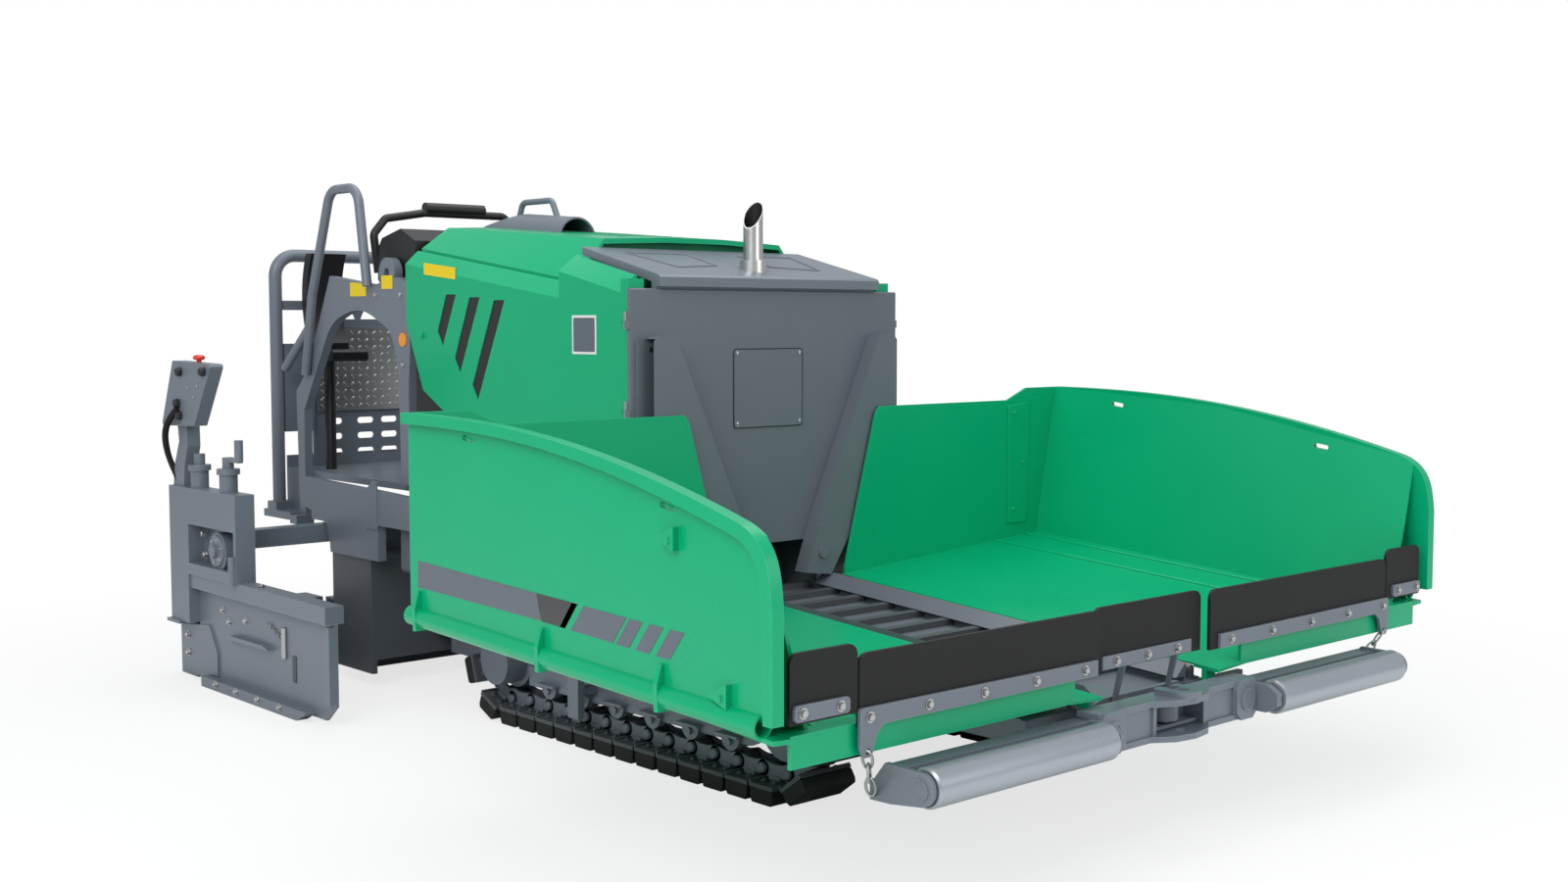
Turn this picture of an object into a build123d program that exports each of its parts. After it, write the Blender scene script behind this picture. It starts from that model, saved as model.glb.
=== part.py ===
"""Compact tracked asphalt paver with folding hopper, operator stand and extending screed.

Millimetres. +X points forward to the hopper, +Y to the machine's left, +Z up.
The origin is on the ground under the middle of the machine's box.
"""

import os
from math import cos, degrees, pi, radians, sin, tan

from build123d import *

# Crawler track
SHOE_PITCH = 125.0
SHOE_COUNT = 33
PITCH_RADIUS = 150.0
LINK_HALF = 35.0
LINK_PIN = 17.0
SHOE_THICK = 14.0
PAD_HEIGHT = 53.0
PAD_LENGTH = 100.0
TRACK_WIDTH = 230.0
TRACK_OUTER = 700.0
CHAIN_WIDTH = 100.0
SPROCKET_X = -380.0

# Track frame
ROLLER_RADIUS = 42.0
ROLLER_PITCH = 215.0
ROLLER_COUNT = 6
ROLLER_WIDTH = 74.0
ROLLER_PIN = 14.0
RAIL_THICK = 16.0
RAIL_HEIGHT = 75.0
HUB_RADIUS = 95.0
HUB_OUTER = 720.0
GUARD_RADIUS = 46.0

# Chassis
CHASSIS_HALF = 450.0
CHASSIS_WALL = 20.0
CHASSIS_BOTTOM = 145.0
CHASSIS_NOSE_X = 1300.0
CHASSIS_NOSE_BOTTOM = 322.0
CHASSIS_TOP = 400.0
CHASSIS_REAR = -1140.0
CHASSIS_FRONT = 2165.0
FRONT_PLATE_HALF = 560.0
DECK_TOP = 780.0
DECK_THICK = 40.0
DECK_HALF = 640.0
DECK_FRONT = 440.0
CHANNEL_HALF = 250.0
CONVEYOR_DROP = 42.0
BAR_PITCH = 150.0
BAR_HEIGHT = 24.0
TANK_OUTER = 690.0
TANK_FRONT = 80.0

# Hopper halves
HOPPER_REAR = 535.0
HOPPER_HINGE_HALF = 300.0
HOPPER_HINGE_Z = 574.0
HOPPER_PITCH = 4.0
HOPPER_ROLL = 3.5
HOPPER_PLATE = 12.0
WING_OUTER = 1612.0
WING_FRONT = 2290.0
WING_TOP = 1300.0
WING_FOOT_REAR = 640.0
WING_FOOT_FRONT = 600.0
LINER_FOOT = 1430.0
LINER_FRONT = 2225.0
RIM_PROUD = 28.0
RIM_HEIGHT = 34.0
HINGE_PIN = 10.0
HINGE_BARREL = 18.0
HINGE_FIT = 0.05
EAR_RADIUS = 16.0
EAR_WIDTH = 30.0
TUBE_RADIUS = 32.0
TUBE_WALL = 6.0
TUBE_LUGS = (590.0, 1270.0, 1822.0)
WING_SLOTS = ((885.0, 1233.0), (1850.0, 1106.0))

# Rubber aprons
APRON_X = 2262.0
APRON_THICK = 12.0
APRON_BAR = 10.0
APRON_BOTTOM = 548.0
APRON_HEIGHT = 192.0
APRON_ROUND = 30.0
APRON_GAP = 6.0
SMALL_APRON = 235.0
CENTRE_APRON_Y = (-318.0, 222.0)
CENTRE_APRON_X = 2234.0

# Push beam
ROLLER_AXIS_X = 2380.0
ROLLER_AXIS_Z = 387.0
PUSH_ROLLER_RADIUS = 55.0
PUSH_ROLLER_INNER = 432.0
PUSH_ROLLER_OUTER = 1190.0
PUSH_PIN = 20.0
BEAM_BACK = 2245.0
BEAM_DEPTH = 60.0
BEAM_HEIGHT = 80.0
BEAM_PIVOT_X = 2262.0
PIVOT_RADIUS = 25.0
TONGUE_HALF = 50.0
BEAM_PLATE = 18.0
KNUCKLE_INNER = 290.0
KNUCKLE_OUTER = 405.0
KNUCKLE_FRONT = 2342.0
TOW_BORE = 20.0
TOW_BORE_X = 2338.0

# Hood
HOOD_HALF = 660.0
HOOD_REAR = -1120.0
HOOD_FRONT = 430.0
HOOD_SKIN = 20.0
HOOD_FALL = 0.137
CROWN_FRONT = 0.0
DOOR_THICK = 22.0
DOOR_HINGE_X = 430.0
DOOR_HINGE_Y = 672.0
DOOR_HINGE_Z = (1270.0, 1590.0)
DOOR_KNUCKLE = 8.0
DOOR_PIN = 4.0
VENT_COUNT = 6
VENT_PITCH = 88.0
VENT_LENGTH = 58.0
VENT_HALF = 270.0
PANEL_HALF = 673.0
PANEL_THICK = 20.0
PANEL_TOP = 1705.0
HATCH_WIDTH = 352.0
HATCH_HEIGHT = 300.0
LID_HALF = 555.0
LID_FRONT = 482.0
LID_LIP = 42.0
DEFLECTOR_DEPTH = 66.0
DEFLECTOR_SHEET = 8.0
EXHAUST_X = 351.0
EXHAUST_RADIUS = 38.0
EXHAUST_WALL = 3.0
EXHAUST_TOP = 2048.0
EXHAUST_TURN = 20.0
COWL_FRONT = -560.0
COWL_REAR = -1150.0
COWL_Y = -172.0
COWL_RADIUS = 95.0
COWL_CREST = 2020.0
COWL_SLOPE = 0.078
COWL_SHEET = 8.0

# Operator stand
FLOOR_TOP = 885.0
FLOOR_THICK = 30.0
STAND_HALF = 600.0
STAND_REAR = -2370.0
SILL_REAR = -2435.0
ARCH_THICK = 40.0
EYE_X = -1316.0
EYE_Z = 1795.0
EYE_RADIUS = 22.0
HOOP_RADIUS = 21.0
POLE_RADIUS = 30.0
GUARD_X = -2350.0
GUARD_TOP = 1899.0
GUARD_HALF = 650.0
WALL_THICK = 12.0
SLOT_LENGTH = 90.0
SLOT_HEIGHT = 30.0
CONSOLE_Y = -190.0
CONSOLE_HALF = 400.0
CONSOLE_REAR = -1480.0

# Screed
TOW_X = 167.0
TOW_Z = 640.0
TOW_PIN = 30.0
TOW_EYE = 65.0
ARM_INNER = 710.0
ARM_THICK = 40.0
SCREED_FRONT = -1690.0
SCREED_DEPTH = 330.0
SCREED_HALF = 590.0
SCREED_WALL = 110.0
SOLE_CLEAR = 5.0
SLIDE_X = -1750.0
SLIDE_Z = 640.0
SLIDE_SIZE = 80.0
SLIDE_WALL = 14.0
EXT_GAP = 8.0
EXT_DEPTH = 170.0
EXT_OUTER = 1225.0
EXT_PLATE = 14.0
EXT_MOUNT = 40.0
COLUMN_WIDTH = 88.0
COLUMN_FRONT = -1483.0
COLUMN_REAR = -2150.0
COLUMN_TOP = 860.0
SPINDLES_X = (-1920.0, -1632.0)

# Auger
AUGER_X = -1505.0
AUGER_Z = 275.0
AUGER_RADIUS = 130.0
AUGER_SHAFT = 28.0
AUGER_PITCH = 200.0
FLIGHT_THICK = 12.0
AUGER_CASE_HALF = 32.0
BOX_REAR = -1675.0
BOX_FRONT = -1330.0
BOX_BOTTOM = 55.0
BOX_TOP = 555.0
BOX_HALF = 730.0
BOX_SIDE = 24.0

# Clearances between pieces that touch, and between pieces that pass
SEAT_GAP = 0.3
PASS_GAP = 6.0

TRACK_MID = TRACK_OUTER - TRACK_WIDTH / 2
WHEEL_Z = PITCH_RADIUS + LINK_HALF + SHOE_THICK + PAD_HEIGHT
WHEEL_SPAN = (SHOE_COUNT * SHOE_PITCH - 2 * pi * PITCH_RADIUS) / 2
IDLER_X = SPROCKET_X + WHEEL_SPAN
ROLLER_Z = WHEEL_Z - PITCH_RADIUS + LINK_HALF + ROLLER_RADIUS + SEAT_GAP
ROLLER_FRONT_X = IDLER_X - 241.0
TRACK_TOP = WHEEL_Z + PITCH_RADIUS + LINK_HALF + SHOE_THICK + PAD_HEIGHT
SLOPE = tan(radians(HOPPER_PITCH))
RIM_OUTER = WING_OUTER + RIM_PROUD
FAR = 4000.0


def block(x0, x1, y0, y1, z0, z1):
    """Box between two corners."""
    size = (x1 - x0, y1 - y0, z1 - z0)
    centre = ((x0 + x1) / 2, (y0 + y1) / 2, (z0 + z1) / 2)
    return Pos(*centre) * Box(*size)


def side_plate(points, y0, y1):
    """Outline in X and Z, extruded from y0 to y1."""
    face = make_face(Polyline([(x, 0, z) for x, z in points], close=True))
    return Pos(0, y0, 0) * extrude(face, amount=y1 - y0, dir=(0, 1, 0))


def cross_plate(points, x0, x1):
    """Outline in Y and Z, extruded from x0 to x1."""
    face = make_face(Polyline([(0, y, z) for y, z in points], close=True))
    return Pos(x0, 0, 0) * extrude(face, amount=x1 - x0, dir=(1, 0, 0))


def flat_plate(points, z0, z1):
    """Outline in X and Y, extruded from z0 to z1."""
    face = make_face(Polyline([(x, y, 0) for x, y in points], close=True))
    return Pos(0, 0, z0) * extrude(face, amount=z1 - z0, dir=(0, 0, 1))


def pitched_bar(points, x0, x1):
    """Cross-section in Y and height over the hopper hinge line, run along that line."""
    ring = [(x0, y, hinge_z(x0) + rise) for y, rise in points]
    face = make_face(Polyline(ring, close=True))
    run = Vector(x1 - x0, 0, hinge_z(x1) - hinge_z(x0))
    return extrude(face, amount=run.length, dir=run)


def rod(start, end, radius):
    """Round bar between two points."""
    axis = Vector(*end) - Vector(*start)
    plane = Plane(origin=start, z_dir=axis)
    return extrude(plane * Circle(radius), amount=axis.length)


def pipe(points, radii, radius):
    """Bent round bar along straight runs joined by arcs."""
    path = FilletPolyline(*points, radius=radii)
    start = Plane(origin=path @ 0, z_dir=path % 0)
    return sweep(start * Circle(radius), path=path)


def mirrored(shape):
    """The same piece on the machine's other side."""
    return mirror(shape, about=Plane.XZ)


def both(shape):
    """A piece together with its mirror image."""
    return shape + mirrored(shape)


def solids_of(shape):
    """A plain compound of separate solids."""
    if isinstance(shape, (list, tuple)):
        return Compound(children=[s for item in shape for s in item.solids()])
    return Compound(children=list(shape.solids()))


def save(name, shape):
    """Write one piece, in its place on the machine."""
    export_step(solids_of(shape), "parts/" + name + ".step")


def save_pair(name, shape):
    """Write a left piece and its mirror image on the right."""
    save(name + "_left", shape)
    save(name + "_right", [mirrored(s) for s in solids_of(shape).solids()])


def save_both(name, shape):
    """Write a left piece and its mirror image as one node of separate solids."""
    left = solids_of(shape).solids()
    save(name, list(left) + [mirrored(s) for s in left])


def track_place(distance):
    """Point on the pitch line and the shoe's turn about Y, from the lower run's rear end."""
    arc = pi * PITCH_RADIUS
    if distance < WHEEL_SPAN:
        return SPROCKET_X + distance, WHEEL_Z - PITCH_RADIUS, 180.0
    distance -= WHEEL_SPAN
    if distance < arc:
        turn = distance / PITCH_RADIUS
        x = IDLER_X + PITCH_RADIUS * sin(turn)
        return x, WHEEL_Z - PITCH_RADIUS * cos(turn), 180.0 - degrees(turn)
    distance -= arc
    if distance < WHEEL_SPAN:
        return IDLER_X - distance, WHEEL_Z + PITCH_RADIUS, 0.0
    turn = (distance - WHEEL_SPAN) / PITCH_RADIUS
    x = SPROCKET_X - PITCH_RADIUS * sin(turn)
    return x, WHEEL_Z + PITCH_RADIUS * cos(turn), -degrees(turn)


def track_stadium(radius):
    """Slab of the track's course at a distance from the wheel centres, one chain wide."""
    outline = SlotCenterToCenter(WHEEL_SPAN, 2 * radius)
    origin = ((SPROCKET_X + IDLER_X) / 2, TRACK_MID - CHAIN_WIDTH / 2, WHEEL_Z)
    plane = Plane(origin=origin, x_dir=(1, 0, 0), z_dir=(0, 1, 0))
    return extrude(plane * outline, amount=CHAIN_WIDTH)


def track_shoe():
    """Steel shoe with its tapered rubber pad, over the pitch line."""
    half = SHOE_PITCH * 0.46
    pad = PAD_LENGTH / 2
    top = LINK_HALF + SHOE_THICK
    profile = [
        (-half, LINK_HALF - SHOE_THICK),
        (half, LINK_HALF - SHOE_THICK),
        (half, top),
        (pad, top),
        (pad - 8.0, top + PAD_HEIGHT),
        (8.0 - pad, top + PAD_HEIGHT),
        (-pad, top),
        (-half, top),
    ]
    return side_plate(profile, -TRACK_WIDTH / 2, TRACK_WIDTH / 2)


def track_loop():
    """One crawler track: the link band with pins, and a shoe with its pad at each pitch."""
    band = track_stadium(PITCH_RADIUS + LINK_HALF) - track_stadium(PITCH_RADIUS - LINK_HALF)
    shoe = track_shoe()
    reach = CHAIN_WIDTH / 2 + 8.0
    pin = rod((0, -reach, 0), (0, reach, 0), LINK_PIN)
    pieces = []
    for index in range(SHOE_COUNT):
        x, z, angle = track_place((index + 0.5) * SHOE_PITCH)
        pieces.append(Pos(x, TRACK_MID, z) * Rot(0, angle, 0) * shoe)
        x, z, angle = track_place(index * SHOE_PITCH)
        pieces.append(Pos(x, TRACK_MID, z) * pin)
    return band + pieces


def roller_places():
    """X of each lower roller, front to rear."""
    return [ROLLER_FRONT_X - i * ROLLER_PITCH for i in range(ROLLER_COUNT)]


def track_wheels():
    """Drive hub with its sprocket, front idler and lower rollers of one side."""
    rim_radius = PITCH_RADIUS - LINK_HALF - SEAT_GAP
    half = ROLLER_WIDTH / 2
    sprocket = rod((SPROCKET_X, TRACK_MID - half, WHEEL_Z), (SPROCKET_X, TRACK_MID + half, WHEEL_Z), rim_radius)
    sprocket += rod((SPROCKET_X, CHASSIS_HALF, WHEEL_Z), (SPROCKET_X, HUB_OUTER, WHEEL_Z), HUB_RADIUS)
    idler = rod((IDLER_X, TRACK_MID - half, WHEEL_Z), (IDLER_X, TRACK_MID + half, WHEEL_Z), rim_radius)
    pieces = [sprocket, idler]
    for x in roller_places():
        pieces.append(rod((x, TRACK_MID - half, ROLLER_Z), (x, TRACK_MID + half, ROLLER_Z), ROLLER_RADIUS))
    return pieces


def rail_inner():
    """Inner face of the track frame."""
    return TRACK_MID - ROLLER_WIDTH / 2 - RAIL_THICK - SEAT_GAP


def rail_outer():
    """Outer face of the track frame."""
    return TRACK_MID + ROLLER_WIDTH / 2 + RAIL_THICK + SEAT_GAP


def track_frame():
    """Side rails, roller guards, idler fork, tow strut and the cross members to the chassis."""
    rear = SPROCKET_X + PITCH_RADIUS - LINK_HALF + 12.0
    front = IDLER_X + 45.0
    low = ROLLER_Z - RAIL_HEIGHT * 0.2
    high = low + RAIL_HEIGHT
    nose = [
        (rear, low),
        (front - 190.0, low),
        (front - 60.0, WHEEL_Z - 30.0),
        (front, WHEEL_Z - 30.0),
        (front, WHEEL_Z + 30.0),
        (front - 60.0, WHEEL_Z + 30.0),
        (front - 190.0, high + 25.0),
        (rear, high),
    ]
    frame = side_plate(nose, rail_inner(), rail_inner() + RAIL_THICK)
    frame += side_plate(nose, rail_outer() - RAIL_THICK, rail_outer())
    for x in roller_places():
        frame += roller_guard(x)
    top = ROLLER_Z + ROLLER_RADIUS + 6.0
    for x in (SPROCKET_X + 330.0, IDLER_X - 330.0):
        frame += block(x - 60, x + 60, CHASSIS_HALF, rail_outer(), top, top + 60.0)
        frame += block(x - 60, x + 60, rail_outer() - RAIL_THICK, rail_outer(), high - 10, top + 60.0)
        frame += block(x - 60, x + 60, rail_inner(), rail_inner() + RAIL_THICK, high - 10, top + 60.0)
    return frame


def roller_guard(x):
    """Half round guard plate with the roller's pin end."""
    y = rail_outer()
    guard = rod((x, y, ROLLER_Z), (x, y + 12.0, ROLLER_Z), GUARD_RADIUS)
    guard &= block(x - 60, x + 60, y, y + 12.0, 0, ROLLER_Z + 5.0)
    shelf = block(x - GUARD_RADIUS - 12.0, x + GUARD_RADIUS + 12.0, y, y + 34.0, ROLLER_Z + 5.0, ROLLER_Z + 13.0)
    return guard + shelf + rod((x, y, ROLLER_Z - 14.0), (x, y + 24.0, ROLLER_Z - 14.0), ROLLER_PIN)


def hinge_z(x):
    """Height of the hopper hinge line."""
    return HOPPER_HINGE_Z - SLOPE * (x - HOPPER_REAR)


def hopper_z(x, y=HOPPER_HINGE_HALF):
    """Height of the hopper floor's top face."""
    rise = tan(radians(HOPPER_ROLL)) * (y - HOPPER_HINGE_HALF)
    return hinge_z(x) + HINGE_BARREL + 6.0 + rise


def conveyor_z(x):
    """Height of the conveyor floor: pitched with the hopper, level under the engine."""
    return hinge_z(max(x, DECK_FRONT)) - CONVEYOR_DROP


def chassis_frame():
    """Lower box, conveyor floor and sills, tunnel walls, engine deck and front plate."""
    half = CHASSIS_HALF
    wall = CHASSIS_WALL
    frame = block(CHASSIS_REAR, CHASSIS_FRONT, -half, half, CHASSIS_BOTTOM, CHASSIS_TOP)
    frame -= block(
        CHASSIS_REAR - 1,
        CHASSIS_FRONT - wall,
        wall - half,
        half - wall,
        CHASSIS_BOTTOM + wall,
        CHASSIS_TOP - wall,
    )
    frame -= side_plate(
        [
            (CHASSIS_NOSE_X, CHASSIS_BOTTOM),
            (CHASSIS_NOSE_X + 450.0, CHASSIS_NOSE_BOTTOM),
            (CHASSIS_FRONT + 1, CHASSIS_NOSE_BOTTOM),
            (CHASSIS_FRONT + 1, CHASSIS_BOTTOM - 1),
            (CHASSIS_NOSE_X, CHASSIS_BOTTOM - 1),
        ],
        -half - 1,
        half + 1,
    )
    frame += side_plate(
        [
            (CHASSIS_NOSE_X - wall, CHASSIS_BOTTOM),
            (CHASSIS_NOSE_X, CHASSIS_BOTTOM),
            (CHASSIS_NOSE_X + 450.0, CHASSIS_NOSE_BOTTOM),
            (CHASSIS_FRONT, CHASSIS_NOSE_BOTTOM),
            (CHASSIS_FRONT, CHASSIS_NOSE_BOTTOM + wall),
            (CHASSIS_NOSE_X + 440.0, CHASSIS_NOSE_BOTTOM + wall),
            (CHASSIS_NOSE_X - wall, CHASSIS_BOTTOM + wall),
        ],
        -half,
        half,
    )
    frame += both(chassis_side())
    frame += block(CHASSIS_REAR, DECK_FRONT, -DECK_HALF, DECK_HALF, DECK_TOP - DECK_THICK, DECK_TOP)
    frame += conveyor_floor()
    return frame + front_plate() + pivot_tongue()


def chassis_side():
    """Left sill under the hopper hinge, tunnel wall, conveyor guard strip, hinge ears and pin."""
    drop = HINGE_BARREL + 8.0
    outer = HOPPER_HINGE_HALF + 40.0
    floor = conveyor_z(CHASSIS_FRONT) - hinge_z(CHASSIS_FRONT)
    low = CHASSIS_TOP - hinge_z(DECK_FRONT) - 20.0
    sill = pitched_bar([(CHANNEL_HALF, low), (outer, low), (outer, -drop), (CHANNEL_HALF, -drop)],
                       DECK_FRONT, CHASSIS_FRONT)
    side = sill & block(DECK_FRONT, CHASSIS_FRONT, 0, FAR, CHASSIS_TOP - 10.0, FAR)
    side += block(CHASSIS_REAR, DECK_FRONT, CHANNEL_HALF, CHASSIS_HALF, CHASSIS_TOP, DECK_TOP - DECK_THICK)
    strip_foot = floor + BAR_HEIGHT + 4.0
    strip = [
        (CHANNEL_HALF - 40.0, strip_foot),
        (CHANNEL_HALF + 4.0, strip_foot),
        (CHANNEL_HALF + 4.0, -drop),
        (CHANNEL_HALF + 14.0, -drop),
        (CHANNEL_HALF + 14.0, 30.0),
    ]
    side += pitched_bar(strip, HOPPER_REAR - 60.0, CHASSIS_FRONT)
    for x in ear_places():
        side += hinge_ear(x)
    return side + hinge_line(HINGE_PIN, ear_places()[0], CHASSIS_FRONT - 2.0)


def conveyor_floor():
    """Floor plate of the conveyor, with a rounded front end."""
    floor = conveyor_z(CHASSIS_FRONT) - hinge_z(CHASSIS_FRONT)
    half = CHANNEL_HALF
    pitched = pitched_bar([(-half, floor - 8.0), (half, floor - 8.0), (half, floor), (-half, floor)],
                          DECK_FRONT, CHASSIS_FRONT)
    z = conveyor_z(DECK_FRONT)
    return pitched + block(CHASSIS_REAR, DECK_FRONT, -half, half, z - 8.0, z)


def front_plate():
    """Wide plate on the chassis front, and the upright that carries the middle apron."""
    x0, x1 = CHASSIS_FRONT, CHASSIS_FRONT + 20.0
    z = hinge_z(CHASSIS_FRONT)
    outline = [
        (FRONT_PLATE_HALF, 330.0),
        (FRONT_PLATE_HALF, z - 30.0),
        (HOPPER_HINGE_HALF - 60.0, z - 30.0),
        (CHANNEL_HALF - 50.0, conveyor_z(CHASSIS_FRONT) + BAR_HEIGHT),
    ]
    ring = outline + [(-y, level) for y, level in reversed(outline)]
    plate = cross_plate(ring, x0, x1)
    for y in (-150.0, 120.0):
        gusset = [
            (x1, 380.0),
            (CENTRE_APRON_X, APRON_BOTTOM),
            (CENTRE_APRON_X, APRON_BOTTOM + 60.0),
            (CENTRE_APRON_X - 8.0, APRON_BOTTOM + 60.0),
            (x1, conveyor_z(CHASSIS_FRONT)),
        ]
        plate += side_plate(gusset, y - 6.0, y + 6.0)
    return plate


def pivot_tongue():
    """Tongue on the chassis front with the push beam's upright pin."""
    z = ROLLER_AXIS_Z
    plate_z = BEAM_HEIGHT / 2 + 5.0
    half = BEAM_HEIGHT / 2 - 18.0
    tongue = block(CHASSIS_FRONT, BEAM_PIVOT_X, -TONGUE_HALF, TONGUE_HALF, z - half, z + half)
    tongue += rod((BEAM_PIVOT_X, 0, z - half), (BEAM_PIVOT_X, 0, z + half), TONGUE_HALF)
    pin_end = plate_z + BEAM_PLATE + 8.0
    return tongue + rod((BEAM_PIVOT_X, 0, z - pin_end), (BEAM_PIVOT_X, 0, z + pin_end), PIVOT_RADIUS)


def hinge_ear(x):
    """Ear on the sill that holds the end of one hopper hinge pin."""
    y = HOPPER_HINGE_HALF
    z = hinge_z(x + EAR_WIDTH / 2)
    ear = block(x, x + EAR_WIDTH, y - EAR_RADIUS, y + EAR_RADIUS, z - HINGE_BARREL - 20.0, z)
    return ear + hinge_line(EAR_RADIUS, x, x + EAR_WIDTH)


def ear_places():
    """Rear face of each hinge ear along the sill."""
    return [HOPPER_REAR + HOPPER_PLATE + 6.0, CHASSIS_FRONT - EAR_WIDTH - 5.0]


def hinge_line(radius, x0, x1):
    """Round bar along the left hopper's pitched hinge line."""
    y = HOPPER_HINGE_HALF
    return rod((x0, y, hinge_z(x0)), (x1, y, hinge_z(x1)), radius)


def conveyor_bars():
    """Slat bars across the conveyor channel."""
    half = CHANNEL_HALF - 20.0
    bar = block(0, 30.0, -half, half, SEAT_GAP, BAR_HEIGHT)
    count = int((CHASSIS_FRONT - CHASSIS_REAR - 60.0) / BAR_PITCH)
    bars = []
    for index in range(count):
        x = CHASSIS_REAR + 40.0 + index * BAR_PITCH
        tilt = HOPPER_PITCH if x > DECK_FRONT - 40.0 else 0.0
        bars.append(Pos(x, 0, conveyor_z(x)) * Rot(0, tilt, 0) * bar)
    return bars


def wing_plate(y0, y1, inset=0.0, past=0.0):
    """Slab of the outer wall: a curved top and nose, pulled in by an inset; straight foot."""
    top = WING_TOP - inset
    front = WING_FRONT - inset
    turn = (WING_FRONT - 130.0 - inset * 0.6, 0, top - 206.0)
    crest = Spline(
        [(HOPPER_REAR - past, 0, top), (HOPPER_REAR + 835.0, 0, top - 45.0), turn],
        tangents=[(1, 0, 0), (1, 0, -0.28)],
    )
    nose = Spline(
        [turn, (WING_FRONT - 32.0 - inset, 0, top - 275.0 + inset * 0.4), (front, 0, top - 410.0)],
        tangents=[(1, 0, -0.28), (0.1, 0, -1)],
    )
    foot = Polyline(
        (front, 0, top - 410.0),
        (front, 0, WING_FOOT_FRONT - past),
        (HOPPER_REAR - past, 0, WING_FOOT_REAR - past),
        (HOPPER_REAR - past, 0, top),
    )
    face = make_face([*crest.edges(), *nose.edges(), *foot.edges()])
    return Pos(0, y0, 0) * extrude(face, amount=y1 - y0, dir=(0, 1, 0))


def hopper_half():
    """Left hopper half: floor, back wall, leaning liner, outer skin, rim and hinge tube."""
    half = hopper_floor() + hopper_back() + hopper_liner()
    half += wing_plate(WING_OUTER - HOPPER_PLATE, WING_OUTER)
    half += wing_rim() + front_beam()
    for x, z in WING_SLOTS:
        slot = extrude(Plane.XZ * SlotOverall(64.0, 18.0), amount=400.0, both=True)
        half -= Pos(x, WING_OUTER, z) * Rot(0, 8.0, 0) * slot
    half += wing_tube() + wing_ears()
    for x in ear_places():
        half -= hinge_line(EAR_RADIUS + 6.0, x - 8.0, x + EAR_WIDTH + 8.0)
    start = ear_places()[0] + EAR_WIDTH + 5.0
    end = ear_places()[1] - 5.0
    half += hinge_line(HINGE_BARREL, start, end)
    half += barrel_web(start, end)
    return half - hinge_line(HINGE_PIN + HINGE_FIT, HOPPER_REAR - 60.0, CHASSIS_FRONT + 60.0)


def hopper_floor():
    """Pitched and rolled floor plate from the hinge to the wing."""
    x0, x1 = HOPPER_REAR, APRON_X
    y0, y1 = HOPPER_HINGE_HALF, WING_OUTER
    along = Vector(cos(radians(HOPPER_PITCH)), 0, -sin(radians(HOPPER_PITCH)))
    across = Vector(0, cos(radians(HOPPER_ROLL)), sin(radians(HOPPER_ROLL)))
    origin = ((x0 + x1) / 2, (y0 + y1) / 2, hopper_z((x0 + x1) / 2, (y0 + y1) / 2) - HOPPER_PLATE)
    plane = Plane(origin=origin, x_dir=along, z_dir=along.cross(across))
    sheet = extrude(plane * Rectangle(1.05 * (x1 - x0), 1.05 * (y1 - y0)), amount=HOPPER_PLATE)
    return sheet & block(x0, x1, y0, y1, 0, WING_TOP)


def hopper_back():
    """Back wall with its slanted inner edge, and the raised corner next to the wing."""
    x0, y0, y1 = HOPPER_REAR, HOPPER_HINGE_HALF, WING_OUTER
    outline = [
        (y0 + 10.0, hopper_z(x0) - HOPPER_PLATE),
        (y0 + 10.0, hopper_z(x0) + 27.0),
        (y0 + 178.0, WING_TOP - 76.0),
        (y0 + 200.0, WING_TOP - 50.0),
        (LINER_FOOT - 155.0, WING_TOP - 50.0),
        (LINER_FOOT - 30.0, WING_TOP),
        (y1, WING_TOP),
        (y1, hopper_z(x0, y1) - HOPPER_PLATE),
    ]
    return cross_plate(outline, x0, x0 + HOPPER_PLATE)


def liner_ring(x):
    """Section of the leaning liner at a station: its foot, and its top against the wing's crest."""
    along = (x - HOPPER_REAR) / (WING_FRONT - HOPPER_REAR)
    top = WING_TOP - 240.0 * along**2
    foot = WING_FOOT_FRONT - 150.0
    return [
        (LINER_FOOT, foot),
        (LINER_FOOT + HOPPER_PLATE, foot),
        (WING_OUTER, top),
        (WING_OUTER - HOPPER_PLATE, top),
    ]


def hopper_liner():
    """Leaning plate between the floor and the wing's crest."""
    inside = wing_plate(LINER_FOOT - 5.0, WING_OUTER)
    inside += side_plate(
        [
            (HOPPER_REAR, hopper_z(HOPPER_REAR, LINER_FOOT) - HOPPER_PLATE / 2),
            (APRON_X, hopper_z(APRON_X, LINER_FOOT) - HOPPER_PLATE / 2),
            (APRON_X, WING_FOOT_FRONT + 100.0),
            (HOPPER_REAR, WING_FOOT_REAR + 100.0),
        ],
        LINER_FOOT - 5.0,
        WING_OUTER,
    )
    middle = (HOPPER_REAR + LINER_FRONT) / 2
    return lofted(liner_ring, (HOPPER_REAR, middle, LINER_FRONT)) & inside


def wing_rim():
    """Raised bead along the wing's top and nose."""
    inner = wing_plate(WING_OUTER - 1.0, RIM_OUTER + 1.0, RIM_HEIGHT, 5.0)
    return wing_plate(WING_OUTER, RIM_OUTER) - inner


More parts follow.
